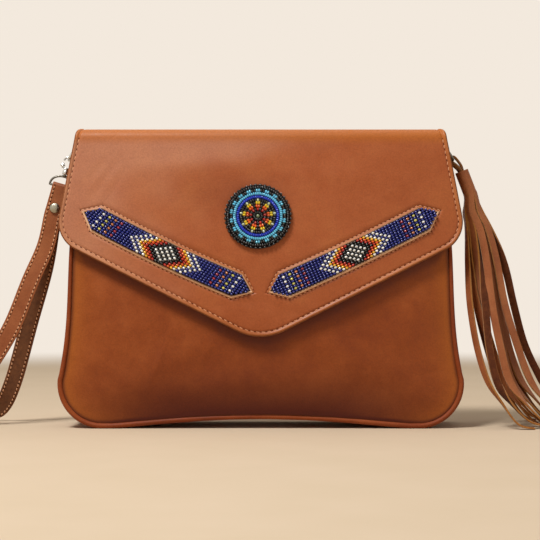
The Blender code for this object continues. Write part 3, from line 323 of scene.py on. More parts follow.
def spaced(points, count, extra=None):
    # The line again with equal steps. extra is a second list that is carried along with it.
    lengths = walk(points)
    found, carried, index = [], [], 0
    for i in range(count + 1):
        target = lengths[-1] * i / count
        while index < len(points) - 2 and lengths[index + 1] < target:
            index += 1
        share = (target - lengths[index]) / max(1e-9, lengths[index + 1] - lengths[index])
        found.append(points[index].lerp(points[index + 1], share))
        if extra:
            carried.append(extra[index].lerp(extra[index + 1], share))
    return (found, carried) if extra else found


def smoothLine(points, steps):
    # A Catmull-Rom line through points.
    line = []
    for i in range(len(points) - 1):
        p0, p1, p2, p3 = points[max(i - 1, 0)], points[i], points[i + 1], points[min(i + 2, len(points) - 1)]
        for k in range(steps):
            t = k / steps
            line.append(0.5 * (2 * p1 + (p2 - p0) * t + (2 * p0 - 5 * p1 + 4 * p2 - p3) * t * t
                               + (3 * p1 - p0 - 3 * p2 + p3) * t ** 3))
    return line + [points[-1].copy()]


def mirrored(line):
    # A flat line from the bag's middle to its right, with its mirror image before it.
    return [Vector((-p.x, p.y)) for p in reversed(line[1:])] + line


def clamped(share):
    return min(1.0, max(0.0, share))


def eased(share):
    share = clamped(share)
    return share * share * (3 - 2 * share)


def halfTurn(steps):
    # Sines and cosines of equal steps through half a turn.
    return [(max(0.0, math.sin(math.pi * i / steps)), math.cos(math.pi * i / steps)) for i in range(steps + 1)]


def turnedAt(place, angle, axis):
    return Matrix.Translation(place) @ Matrix.Rotation(angle, 4, axis)


def at(line, share):
    place = share * (len(line) - 1)
    first = min(int(place), len(line) - 2)
    return line[first].lerp(line[first + 1], place - first)


def patchRows(borders, across, rows):
    # Fills the half patch between four border lines, and its mirror image, with rows of flat points.
    bottom, top, centre, side = borders
    grid = []
    for j in range(rows + 1):
        grid.append([])
        for i in range(-across, across + 1):
            u, v = abs(i) / across, j / rows
            edges = (1 - v) * at(bottom, u) + v * at(top, u) + (1 - u) * at(centre, v) + u * at(side, v)
            flat = (edges - (1 - v) * ((1 - u) * bottom[0] + u * bottom[-1])
                    - v * ((1 - u) * top[0] + u * top[-1]))
            grid[-1].append(Vector((math.copysign(flat.x, i), flat.y)))
    return grid


def fillet(before, corner, after, radius, steps):
    incoming, outgoing = (before - corner).normalized(), (after - corner).normalized()
    half = incoming.angle(outgoing) / 2
    centre = corner + (incoming + outgoing).normalized() * radius / math.sin(half)
    start = corner + incoming * radius / math.tan(half) - centre
    sweep = math.pi - 2 * half
    if start.x * outgoing.y - start.y * outgoing.x < 0:
        sweep = -sweep
    return [centre + Matrix.Rotation(sweep * i / steps, 2) @ start for i in range(steps + 1)]


def tubeMesh(points, radii, sides, closed=False):
    # A round wire through points, with one radius or one at each, as points and faces.
    count = len(points)
    radii = radii if isinstance(radii, list) else [radii] * count
    tangents = []
    for i in range(count):
        a = points[i - 1] if closed or i else points[0]
        b = points[(i + 1) % count] if closed or i < count - 1 else points[-1]
        tangents.append((b - a).normalized())
    normal = tangents[0].orthogonal().normalized()
    normals = []
    for tangent in tangents:
        normal = (normal - tangent * normal.dot(tangent)).normalized()
        normals.append(normal)
    verts, twist = [], 0.0
    if closed:
        last = (normals[-1] - tangents[0] * normals[-1].dot(tangents[0])).normalized()
        twist = math.atan2(tangents[0].dot(last.cross(normals[0])), last.dot(normals[0]))
    for i, (point, tangent, first, radius) in enumerate(zip(points, tangents, normals, radii)):
        second = tangent.cross(first)
        for k in range(sides):
            angle = 2 * math.pi * k / sides + twist * i / count
            verts.append(point + (first * math.cos(angle) + second * math.sin(angle)) * radius)
    return verts, tubeFaces(sides, count, closed)


def latheMesh(profile, sides, place):
    # A turned solid about its own Z, from (radius, height) pairs that run down its outer side.
    verts, faces, rows = [], [], []
    for radius, height in profile:
        around = 1 if radius < 1e-6 else sides
        rows.append(list(range(len(verts), len(verts) + around)))
        for k in range(around):
            angle = 2 * math.pi * k / sides
            verts.append(place @ Vector((radius * math.cos(angle), radius * math.sin(angle), height)))
    for upper, lower in zip(rows, rows[1:]):
        for k in range(sides):
            a, b = upper[k % len(upper)], upper[(k + 1) % len(upper)]
            c, d = lower[(k + 1) % len(lower)], lower[k % len(lower)]
            faces.append(tuple(dict.fromkeys((a, d, c, b))))
    return verts, faces


def beadMesh(outline, sides, sag, bored):
    # A small shape turned about X, one unit long and wide before it is sized, that may sag at its ends.
    points = []
    for x, radius in outline:
        for k in range(sides):
            angle = 2 * math.pi * k / sides
            drop = -abs(x) ** 3 * sag
            points.append(Vector((x, radius * math.cos(angle), radius * math.sin(angle) + drop)))
    return points, tubeFaces(sides, len(outline), bored)


def joined(*parts):
    # Several (points, faces) pairs as one.
    verts, faces = [], []
    for points, shapes in parts:
        base = len(verts)
        verts += list(points)
        faces += [tuple(base + i for i in face) for face in shapes]
    return verts, faces


def scatter(name, shape, frames, material, body, replaced=(), slotName=None):
    # One mesh of many copies of a small shape. Each frame is a 4x4 matrix in millimetres.
    points, shapes = shape
    copies = joined(*(([where @ p for p in points], shapes) for where in frames))
    return addPiece(name, *copies, [material], body, replaced, slotName)


def turnedFrame(point, along, up, size):
    # A 4x4 that puts a small shape's X along a direction and its Z towards up.
    along = along.normalized()
    up = (up - along * up.dot(along)).normalized()
    turn = Matrix((along, up.cross(along), up)).transposed().to_4x4()
    return Matrix.Translation(point) @ turn @ Matrix.Diagonal((*size, 1.0))


# Stitches are short fat strands that dip into a needle hole at each end.
stitch = {
    "fill": 0.6, "width": 0.8, "height": 0.7, "slant": 14.0, "slantVaries": 3, "lengthVaries": 0.06,
    "hole": 0.62, "holeSize": (0.62 * 1.9, 0.62 * 1.5, 0.5), "lift": 0.2,
    "outline": ((-0.5, 0.12), (-0.42, 0.36), (-0.2, 0.5), (0.2, 0.5), (0.42, 0.36), (0.5, 0.12)),
    "holeOutline": ((0.0, 0.08), (0.35, 0.07), (0.5, 0.02), (0.5, -0.2), (0.0, -0.2)),
}


def jitter(amount):
    return 1 + random.uniform(-amount, amount)


def sew(name, path, normals, body, pitch):
    # A row of stitches along a path on a leather face, with the face's normal at each point.
    count = max(1, round(walk(path)[-1] / pitch))
    points, ups = spaced(path, count, normals)
    strands, holes = [], []
    for i in range(count):
        up = (ups[i] + ups[i + 1]).normalized()
        slant = stitch["slant"] + random.uniform(-stitch["slantVaries"], stitch["slantVaries"])
        length = (points[i + 1] - points[i]).length * stitch["fill"] * jitter(stitch["lengthVaries"])
        along = Matrix.Rotation(math.radians(slant), 3, up) @ (points[i + 1] - points[i])
        middle = (points[i] + points[i + 1]) / 2 + up * stitch["lift"]
        strands.append(turnedFrame(middle, along, up, (length, stitch["width"], stitch["height"])))
        holes.append(turnedFrame(points[i], along, up, stitch["holeSize"]))
    holes.append(turnedFrame(points[-1], points[-1] - points[-2], ups[-1], (stitch["hole"],) * 3))
    scatter(name + "Thread", beadMesh(stitch["outline"], 8, 2.0, False), strands, peachThread, body)
    # The holes are small dark pieces: painted shade.
    scatter(name + "Holes", latheMesh(stitch["holeOutline"], 8, Matrix()), holes, needleHoleShade, body)


# Pouch: a filled envelope whose seams lie in two leaning planes.
pouch = {
    "baseWidth": 270.6, "topWidth": 246.0, "height": 193.0, "baseDepth": 46.0, "topDepth": 22.0,
    "corner": 30.0, "archRise": 6.0, "archSpan": 200.0, "archPower": 1.3, "waist": 2.3, "waistTop": 0.65,
    "leather": 1.4, "bulge": 6.5, "roundness": 2.4, "lift": 0.8, "foldsMost": 1.0,
    "piping": 1.7, "pipingStop": 7.0, "pipingThins": 0.3, "thinsFrom": 25, "thinsOver": 110, "pipingUneven": 0.05,
    "dip": 1.2, "gussetInset": 0.6, "gap": 0.3,
    "frontRelief": 0.8, "backRelief": 0.45, "gussetRelief": 0.35,
    "sideHold": 6, "frontHold": 18, "backHold": 20,
    "bottomSteps": 48, "cornerSteps": 18, "sideSteps": 40,
    "frontGrid": (96, 110), "backGrid": (30, 40), "gussetLanes": 10,
}
sideReach = Vector((
    pouch["topWidth"] / 2 - pouch["baseWidth"] / 2 + pouch["corner"], pouch["height"] - pouch["corner"]))
sideLean = math.atan2(sideReach.y, sideReach.x) - math.acos(pouch["corner"] / sideReach.length)


def sideWaist(z):
    # How far the sides are drawn in between the lower corners and the flap.
    share = (z - pouch["corner"]) / (pouch["waistTop"] * pouch["height"] - pouch["corner"])
    return pouch["waist"] * math.sin(math.pi * share ** 0.7) ** 1.5 if 0 < share < 1 else 0.0


def halfDepth(z):
    return (pouch["baseDepth"] + (pouch["topDepth"] - pouch["baseDepth"]) * z / pouch["height"]) / 2


def seamX(z):
    corner = pouch["corner"]
    if z < corner:
        reach = math.sqrt(max(0.0, corner ** 2 - (corner - max(0.0, z)) ** 2))
        return pouch["baseWidth"] / 2 - corner + reach
    footX = pouch["baseWidth"] / 2 - corner * (1 - math.cos(sideLean))
    footZ = corner * (1 + math.sin(sideLean))
    return footX + (pouch["topWidth"] / 2 - footX) * (z - footZ) / (pouch["height"] - footZ) - sideWaist(z)


def insetSeam(inset):
    # The right half of the seam as (x, z), moved inward, from the bottom centre to the top.
    corner = pouch["corner"]
    cornerX = pouch["baseWidth"] / 2 - corner
    turn = sideLean + math.pi / 2
    line = []
    for i in range(pouch["bottomSteps"]):
        x = cornerX * i / pouch["bottomSteps"]
        arch = max(0.0, 1 - (2 * x / pouch["archSpan"]) ** 2) ** pouch["archPower"]
        line.append(Vector((x, pouch["archRise"] * arch)))
    for i in range(pouch["cornerSteps"] + 1):
        angle = turn * i / pouch["cornerSteps"] - math.pi / 2
        line.append(Vector((cornerX + corner * math.cos(angle), corner * (1 + math.sin(angle)))))
    foot, top = line[-1], Vector((pouch["topWidth"] / 2, pouch["height"]))
    for i in range(1, pouch["sideSteps"] + 1):
        point = foot.lerp(top, i / pouch["sideSteps"])
        line.append(point - Vector((sideWaist(point.y), 0.0)))
    before = [Vector((-line[1].x, line[1].y))] + line[:-1]
    after = line[1:] + [2 * line[-1] - line[-2]]
    moved = []
    for a, point, b in zip(before, line, after):
        along = (b - a).normalized()
        moved.append(point - inset * Vector((along.y, -along.x)))
    return moved


def fullness(across, up):
    wide = 1 - min(1.0, abs(across)) ** pouch["roundness"]
    return wide * math.sin(math.pi * clamped(up) ** pouch["lift"])


def softRelief(x, z, seed, amount):
    # Hand-sized unevenness of a soft hide, with smaller swells on it.
    broad = noise.noise(Vector((x / 70, z / 55, seed)))
    small = noise.noise(Vector((x / 24, z / 20, seed + 9)))
    return amount * (broad + 0.35 * small)


# Long soft folds of the filled pouch: middle (x, z), direction in degrees, length, width, height.
pouchFolds = (
    (-70.0, 40.0, 28.0, 60.0, 9.0, 0.7),
    (62.0, 46.0, -24.0, 55.0, 10.0, 0.7),
    (-15.0, 30.0, 4.0, 80.0, 8.0, 0.5),
    (96.0, 70.0, 62.0, 40.0, 9.0, 0.5),
    (-100.0, 76.0, -64.0, 40.0, 9.0, 0.5),
    (-67.5, 65.4, 43.7, 14.0, 1.3, -0.34),
    (-65.0, 62.8, 45.0, 13.0, 1.2, -0.3),
    (-70.1, 68.2, 41.0, 11.0, 1.2, -0.28),
    (-69.0, 41.0, 68.0, 18.0, 1.7, 0.4),
    (-100.4, 43.4, -80.8, 13.0, 1.7, 0.34),
    (-35.0, 52.0, 62.0, 12.0, 1.6, 0.3),
    (107.0, 92.0, -25.0, 12.0, 1.4, -0.32),
    (103.0, 88.0, -32.0, 10.0, 1.3, -0.28),
    (114.0, 37.0, 20.0, 8.0, 1.4, -0.3),
)


def foldHeight(x, z, folds):
    height = 0.0
    for foldX, foldZ, angle, length, width, rise in folds:
        turn = math.radians(angle)
        along = (x - foldX) * math.cos(turn) + (z - foldZ) * math.sin(turn)
        across = (z - foldZ) * math.cos(turn) - (x - foldX) * math.sin(turn)
        height += rise * math.exp(-((along / length) ** 2) - (across / width) ** 2)
    return height


def seamShare(x, z, hold):
    # How far out a point lies, and how freely the hide swells there: held at the sides and the bottom.
    share = x / (seamX(z) - 2 * pouch["piping"] - pouch["gap"])
    return share, clamped((1 - abs(share)) * pouch["sideHold"]) * min(1.0, z / hold)


def frontFace(x, z):
    share, free = seamShare(x, z, pouch["frontHold"])
    full = pouch["bulge"] * fullness(share, z / pouch["height"])
    swell = full + free * (softRelief(x, z, 3.0, pouch["frontRelief"]) + foldHeight(x, z, pouchFolds))
    return Vector((x, -halfDepth(z) - min(swell, full + pouch["foldsMost"]), z))


def backFace(x, z):
    share, free = seamShare(x, z, pouch["backHold"])
    return Vector((x, halfDepth(z) + free * softRelief(x, z, 8.0, pouch["backRelief"]), z))


# Marks on the panels: pull-up wear turns the hide orange over the seam, painted shade darkens it beside
# the seam and along the bottom middle, and a painted shadow darkens the hide that the closed flap covers.
seamWearAndShade = {
    "pull": 0.75, "pullReach": 7.5, "pullTop": 10, "pullLow": 20,
    "rub": 0.85, "seamShadeReach": 1.7, "darkest": 0.96,
    "bottomShade": 0.98, "bottomReach": 25.0, "bottomHalf": 104.0, "flapShadow": 0.55, "flapShadowFade": 7.0,
    "tip": 57.1, "tipRound": 35.0, "slope": math.radians(26.6), "cornerFrom": 116, "cornerBend": 0.12,
}


def flapLine(x):
    # The height of the closed flap's lower edge over the panel.
    slope, bend = seamWearAndShade["slope"], seamWearAndShade["tipRound"]
    if abs(x) < bend * math.sin(slope):
        return seamWearAndShade["tip"] + bend - math.sqrt(bend ** 2 - x * x)
    rise = bend * (1 - math.cos(slope)) + (abs(x) - bend * math.sin(slope)) * math.tan(slope)
    return seamWearAndShade["tip"] + rise + seamWearAndShade["cornerBend"] * max(0.0, abs(x) - seamWearAndShade["cornerFrom"]) ** 2


def markSeamWearAndShade(piece, inset, flapShadow):
    seam = spaced(mirrored(insetSeam(inset)), 1200)
    finder = kdtree.KDTree(len(seam))
    for index, point in enumerate(seam):
        finder.insert((point.x, point.y, 0.0), index)
    finder.balance()
    pullAndSheenValues, shadeAmounts = [], []
    for vert in piece.data.vertices:
        x, z = vert.co.x * 1000, vert.co.z * 1000
        away = finder.find((x, z, 0.0))[2]
        low = max(0.0, z - pouch["archRise"])
        middle = math.exp(-((x / seamWearAndShade["bottomHalf"]) ** 4))
        pull = seamWearAndShade["pull"] * math.exp(-away / seamWearAndShade["pullReach"])
        pull *= clamped((pouch["height"] - z) / seamWearAndShade["pullTop"])
        pullAndSheenValues.append(pull * (1 - middle * math.exp(-low / seamWearAndShade["pullLow"])))
        # A painted shadow under the closed flap, and painted shade beside the seam and along the bottom middle.
        hidden = clamped((z - flapLine(x)) / seamWearAndShade["flapShadowFade"] + 1)
        rub = seamWearAndShade["rub"] * math.exp(-((away / seamWearAndShade["seamShadeReach"]) ** 2)) + flapShadow * hidden * hidden
        rub += seamWearAndShade["bottomShade"] * middle * math.exp(-((low / seamWearAndShade["bottomReach"]) ** 2))
        shadeAmounts.append(min(seamWearAndShade["darkest"], rub))
    mark(piece, pulledOver=pullAndSheenValues, rubbedDark=shadeAmounts)


panelInset = 2 * pouch["piping"] - 0.2
seamLine = insetSeam(panelInset)
cornerAt = pouch["bottomSteps"] + pouch["cornerSteps"] // 2
topMiddle = Vector((0.0, seamLine[-1].y))
for hand, surface, (across, up), flapShadow in (
    ("front", frontFace, pouch["frontGrid"], seamWearAndShade["flapShadow"]), ("back", backFace, pouch["backGrid"], 0.0),
):
    bottom, side = spaced(seamLine[:cornerAt + 1], across), spaced(seamLine[cornerAt:], up)
    grid = patchRows((bottom, [topMiddle, seamLine[-1]], [seamLine[0], topMiddle], side), across, up)
    faces = gridFaces(2 * across, up)
    panel = addPiece(
        hand + "PanelLeather", [surface(p.x, p.y) for row in grid for p in row],
        faces if hand == "front" else flipped(faces), bodyHide, "pouch", [hand + "_panel"], "tan_leather")
    markSeamWearAndShade(panel, panelInset, flapShadow)
    thicken(panel, pouch["leather"])

# The gusset dips between its two seams and sinks a little unevenly, towards the middle of the pouch.
outer, inner = (mirrored(insetSeam(pouch["gussetInset"] + dip)) for dip in (0.0, pouch["dip"]))
lanes, points = pouch["gussetLanes"], []
for edge, middle in zip(outer, inner):
    for j in range(lanes + 1):
        swing = 2 * j / lanes - 1
        place = middle.lerp(edge, swing ** 2)
        reach = halfDepth(edge.y) - pouch["piping"] * 0.4
        wave = softRelief(edge.x + edge.y, 40 * swing, 5.0, pouch["gussetRelief"]) * (1 - swing ** 2)
        place += (Vector((0.0, 100.0)) - place).normalized() * abs(wave)
        points.append(Vector((place.x, reach * swing, place.y)))
gusset = addPiece(
    "gussetLeather", points, gridFaces(lanes, len(outer) - 1), bodyHide, "pouch", ["gusset"], "tan_leather")
thicken(gusset, pouch["leather"])

seamLine = mirrored(insetSeam(pouch["piping"]))
seamLine = [p for p in seamLine if p.y <= pouch["height"] - pouch["pipingStop"]]
for hand, side in (("front", -1), ("back", 1)):
    path = [Vector((p.x, side * halfDepth(p.y), p.y)) for p in seamLine]
    radii = []
    for p in path:
        uneven = pouch["pipingUneven"] * noise.noise(Vector((p.x / 9, p.y / 9, side)))
        thinner = pouch["pipingThins"] * clamped((p.z - pouch["thinsFrom"]) / pouch["thinsOver"])
        radii.append(pouch["piping"] * (1 - thinner + uneven))
    addPiece(hand + "PipingCord", *tubeMesh(path, radii, 14), [pipingLeather], "pouch",
             [hand + "_piping"], "piping_leather")
print("pouch sewn")


# Flap: one leather piece from the back edge, over the top and down to its point.
flap = {
    "leather": 1.8, "topWidth": 246.9, "flare": math.radians(10.65), "slope": math.radians(26.6),
    "drop": 142.7, "cornerRadius": 20.8, "tipRadius": 35.0, "backRadius": 6.5, "foldRadius": 7.0,
    "clearance": 0.6, "extraBulge": 1.2, "reach": 140.0,
    "lining": 0.8, "liningMargin": 1.6, "liningStart": 2.0, "liningGap": 0.1,
    "relief": 0.45, "topRelief": 0.3, "reliefFade": 12, "topRounding": 2.2,
    "grid": (60, 60), "liningGrid": (40, 36), "gridMargin": 6.0,
    "foldSteps": 8, "topSteps": 4, "backSteps": 6,
}
# Beside each cut edge the leather swells into a soft roll, and the stitches pull a groove behind it.
rim = {
    "flapGroove": 3.0, "windowGroove": 2.3, "groove": 0.62, "grooveWidth": 0.75, "edge": 0.85,
    "roll": 0.42, "rollAt": 0.45, "rollWidth": 0.38,
    "flapRows": (5.0, 4.3, 3.8, 3.4, 3.0, 2.6, 2.2, 1.8, 1.3), "windowRows": (3.1, 2.7, 2.3, 1.9, 1.6, 1.2),
    "edgeSteps": 8, "flapPitch": 3.8, "windowPitch": 3.1, "lowerLip": 1.3,
}
# Creases in the flap's face, as the pouch's folds: some rise and some sink.
flapCreases = (
    (-104.0, 166.0, 55.0, 16.0, 2.2, -0.42),
    (-98.0, 160.0, 62.0, 14.0, 2.0, -0.36),
    (-109.0, 172.0, 50.0, 12.0, 1.8, -0.34),
    (100.0, 172.0, -58.0, 16.0, 2.4, -0.3),
    (-10.0, 84.0, 8.0, 22.0, 2.6, -0.3),
    (18.0, 78.0, -14.0, 18.0, 2.4, -0.28),
    (-40.0, 176.0, 4.0, 40.0, 5.0, 0.3),
    (50.0, 168.0, -6.0, 44.0, 6.0, 0.3),
)
pouchLean = math.atan((pouch["baseDepth"] - pouch["topDepth"]) / 2 / pouch["height"])
flapTop = pouch["height"] + pouch["gap"] + flap["backRadius"]
flapStand = pouch["piping"] + flap["clearance"] + flap["lining"] + pouch["gap"] + flap["leather"]
foldEndZ = flapTop - flap["foldRadius"] * (1 - math.sin(pouchLean))
foldEnd = Vector((-halfDepth(foldEndZ) - flapStand, foldEndZ))
frontDown = Vector((-math.sin(pouchLean), -math.cos(pouchLean)))
frontOut = Vector((-math.cos(pouchLean), math.sin(pouchLean)))
backAxis = Vector((pouch["topDepth"] / 2 - flap["backRadius"], pouch["height"] + pouch["gap"]))
foldAxis = foldEnd - flap["foldRadius"] * frontOut
# Lengths from the back edge to where the roll over the back, the flat top and the fold end.
backEnd = flap["backRadius"] * math.pi / 2
topEnd = (backEnd + pouch["topDepth"] / 2 - flap["backRadius"] - foldEnd.x
          - flap["foldRadius"] * math.cos(pouchLean))
foldLength = topEnd + flap["foldRadius"] * (math.pi / 2 - pouchLean)


def flapProfile(s):
    # The flap's outer face at a length from its back edge, as (y, z), and its normal.
    if s < backEnd:
        angle = s / flap["backRadius"]
        normal = Vector((math.cos(angle), math.sin(angle)))
        return backAxis + flap["backRadius"] * normal, normal
    if s < topEnd:
        y = pouch["topDepth"] / 2 - flap["backRadius"] - (s - backEnd)
        return Vector((y, flapTop)), Vector((0.0, 1.0))
    if s < foldLength:
        angle = (s - topEnd) / flap["foldRadius"]
        normal = Vector((-math.sin(angle), math.cos(angle)))
        return foldAxis + flap["foldRadius"] * normal, normal
    return foldEnd + (s - foldLength) * frontDown, frontOut


def flapLength(z):
    return foldLength + (foldEnd.y - z) / math.cos(pouchLean)


def flapPoint(x, s, depth=0.0, relief=0.0):
    point, normal = flapProfile(s)
    if s > foldLength:
        swell = (pouch["bulge"] + flap["extraBulge"]) * fullness(x / flap["reach"], point.y / foldEnd.y)
        uneven = softRelief(x, point.y, 1.0, 1.0) + foldHeight(x, point.y, flapCreases) / flap["relief"]
        swell += relief * min(1.0, (s - foldLength) / flap["reliefFade"]) * uneven
    else:
        swell = relief * flap["topRelief"] * softRelief(x, s, 1.0, 1.0)
    inner = point - depth * normal
    return Vector((x, inner.x - swell, inner.y))


def flapNormal(x, s):
    a = flapPoint(x + 1, s) - flapPoint(x - 1, s)
    b = flapPoint(x, s + 0.5) - flapPoint(x, s - 0.5)
    return b.cross(a).normalized() * -1


def onFlap(flat, depth=0.0):
    # A flat (x, z) of the front, laid on the flap's uneven face or at a depth under it.
    return flapPoint(flat.x, flapLength(flat.y), depth, flap["relief"])


def flapBorders(margin, across, rows):
    # The borders of the right half of the flap's front as (x, z), moved inward.
    slope, flare = math.tan(flap["slope"]), math.tan(flap["flare"])
    tip = Vector((0.0, flapTop - flap["drop"] + margin / math.cos(flap["slope"])))
    sideX = flap["topWidth"] / 2 - margin / math.cos(flap["flare"])
    cornerX = (sideX + (flapTop - tip.y) * flare) / (1 + slope * flare)
    corner = Vector((cornerX, tip.y + cornerX * slope))
    shoulder = Vector((sideX + (flapTop - foldEnd.y) * flare, foldEnd.y))
    tipArc = fillet(Vector((-corner.x, corner.y)), tip, corner, flap["tipRadius"] - margin, 24)[12:]
    cornerArc = fillet(tip, corner, shoulder, flap["cornerRadius"] - margin, 24)
    bottom = spaced(tipArc + cornerArc[:13], across)
    middle = Vector((0.0, foldEnd.y))
    return bottom, [middle, shoulder], [bottom[0], middle], spaced(cornerArc[12:] + [shoulder], rows)


# Bead strips: two looms behind slanted windows, each 15 mm wide and 123 mm long, that bow a little.
# The weave leans, from its inner to its outer end, by a share of each row's height.
strip = {
    "x": 62.0, "z": 117.5, "angle": math.radians(25.3), "length": 122.6, "shoulder": 10.1, "width": 15.1,
    "column": 2.27, "row": 1.655, "beadWide": 2.1, "beadLong": 1.5, "recess": 0.45,
    "endGap": 1.3, "sideGap": 0.2, "lean": {-1: (0.21, 0.32), 1: (-0.02, -0.06)},
    "bow": {-1: 2.0, 1: 1.2}, "cut": 4.7, "nearby": 9, "endGrow": 1.25, "mostGrow": 4.6, "shoulderGrow": 0.35,
    "lastColumn": 27, "lastRow": 4, "turns": 4, "depthVaries": 0.06,
    "warp": 0.3, "warpDepth": 1.72, "warpGrow": 0.8, "warpGrid": (40, 6),
}


def stripPlace(side, a, b):
    # a runs along the strip, outward, and b across it, upward.
    turn = strip["angle"]
    b -= strip["bow"][side] * (1 - (2 * a / strip["length"]) ** 2)
    return Vector((side * (strip["x"] + a * math.cos(turn) - b * math.sin(turn)),
                   strip["z"] + a * math.sin(turn) + b * math.cos(turn)))


def windowOutline(grow):
    half = strip["length"] / 2 + min(strip["mostGrow"], grow * strip["endGrow"])
    width = strip["width"] / 2 + grow
    shoulder = strip["length"] / 2 - strip["shoulder"] + grow * strip["shoulderGrow"]
    upper = [(half, 0.0), (shoulder, width), (-shoulder, width)]
    return upper + [(-a, -b) for a, b in upper]


def rimHeight(margin, groove):
    rise = rim["roll"] * math.exp(-((margin - groove * rim["rollAt"]) / (groove * rim["rollWidth"])) ** 2)
    return rise - rim["groove"] * math.exp(-((margin - groove) / rim["grooveWidth"]) ** 2)


def edgeRows(margins, groove):
    # Distance from the cut edge, depth and material of each row: over the roll, round the raw edge and
    # under it.
    rows = [(margin, -rimHeight(margin, groove), 0 if margin > groove * 0.8 else 3) for margin in margins]
    start = -rimHeight(rim["edge"], groove)
    half = (flap["leather"] - start) / 2
    for i, (sine, cosine) in enumerate(halfTurn(rim["edgeSteps"])):
        rows.append((rim["edge"] * (1 - sine), start + half * (1 - cosine), 2 if i else 3))
    return rows


def windowLoop(work, side):
    # Cuts a window into the flat grid of (x, s) and returns its loop of points, each with its side of
    # the window and its share along that.
    corners = [stripPlace(side, a, b) for a, b in windowOutline(strip["cut"])]
    corners = [Vector((c.x, flapLength(c.y))) for c in corners]
    middle = sum(corners, Vector((0.0, 0.0))) / 6
    nearby = strip["length"] / 2 + strip["nearby"]
    edges = list(zip(corners, corners[1:] + corners[:1]))
    for a, b in edges:
        near = [f for f in work.faces if (f.calc_center_median().xy - middle).length < nearby
                and not any(e.is_boundary for e in f.edges)]
        geometry = near + list({e for f in near for e in f.edges}) + list({v for f in near for v in f.verts})
        bmesh.ops.bisect_plane(work, geom=geometry, plane_co=(a.x, a.y, 0.0),
                               plane_no=((b - a).y, (a - b).x, 0.0), dist=1e-4)
    inside = []
    for face in work.faces:
        flat = face.calc_center_median().xy
        crosses = [(b - a).x * (flat - a).y - (b - a).y * (flat - a).x for a, b in edges]
        if all(c > 0 for c in crosses) or all(c < 0 for c in crosses):
            inside.append(face)
    bmesh.ops.delete(work, geom=inside, context="FACES")
    found = []
    for vert in work.verts:
        if not vert.is_boundary or (vert.co.xy - middle).length > nearby:
            continue
        for k, (a, b) in enumerate(edges):
            along = b - a
            share = (vert.co.xy - a).dot(along) / along.length_squared
            off = abs(along.x * (vert.co.y - a.y) - along.y * (vert.co.x - a.x)) / along.length
            if off < 0.01 and -1e-4 < share < 1 - 1e-4:
                found.append((k, max(0.0, share), vert))
                break
    return sorted(found, key=lambda item: item[:2])


def stationHalf(s):
    # The flap's half width over the fold, the top and the back.
    shoulder = flap["topWidth"] / 2 + (flapTop - foldEnd.y) * math.tan(flap["flare"])
    ease = min(1.0, (foldLength - s) / (foldLength - topEnd))
    return shoulder + (flap["topWidth"] / 2 - shoulder) * ease - flap["topRounding"] * ease ** 3


def flapOutline(margin, stations):
    # Half of the flap's outline as (x, s), moved inward: from the tip round the corner to the back edge.
    bottom, top, centre, side = flapBorders(margin, *flap["grid"])
    line = [Vector((p.x, flapLength(p.y))) for p in bottom + side[1:]]
    return line + [Vector((stationHalf(s) - margin / math.cos(flap["flare"]), s)) for s in stations]


# On the flap: orange over the fold, partly pull-up and partly painted sheen; a painted highlight at the upper
# left; painted shade above left of the rosette.
flapSheenAndShade = {
    "pull": 0.8, "foldFrom": 188.0, "foldFade": 8, "sheenAmount": 0.2, "sheenOnFold": 0.8, "sheenFade": 110.0,
    "sheenEdge": (-86, 105), "sheenRise": (160, 34), "sheenUneven": 22,
    "rub": 0.22, "shadeAt": (-22.0, 157.0), "shadeSize": (38, 16),
}


def markFlapSheenAndShade(piece):
    pullAndSheenValues, sheens, shadeAmounts = [], [], []
    (low, rise), (edge, widens) = flapSheenAndShade["sheenRise"], flapSheenAndShade["sheenEdge"]
    (shadeX, shadeZ), (wide, tall) = flapSheenAndShade["shadeAt"], flapSheenAndShade["shadeSize"]
    for vert in piece.data.vertices:
        x, z = vert.co.x * 1000, vert.co.z * 1000
        fold = eased((z - flapSheenAndShade["foldFrom"]) / flapSheenAndShade["foldFade"])
        cloud = noise.noise(Vector((x / 26, z / 20, 4.0)))
        reach = widens * eased((z - low) / rise) + edge + flapSheenAndShade["sheenUneven"] * cloud
        pale = 1 - eased((x - reach) / flapSheenAndShade["sheenFade"] + 0.5)
        # Orange over the fold is partly a painted sheen, the pale patch is a painted highlight, and the dark
        # patch is painted shade.
        pullAndSheenValues.append(flapSheenAndShade["pull"] * fold)
        sheens.append(flapSheenAndShade["sheenAmount"] * (1 - flapSheenAndShade["sheenOnFold"] * fold) * pale)
        shadeAmounts.append(flapSheenAndShade["rub"] * math.exp(-(((x - shadeX) / wide) ** 2) - ((z - shadeZ) / tall) ** 2))
    mark(piece, pulledOver=pullAndSheenValues, waxBloom=sheens, rubbedDark=shadeAmounts)


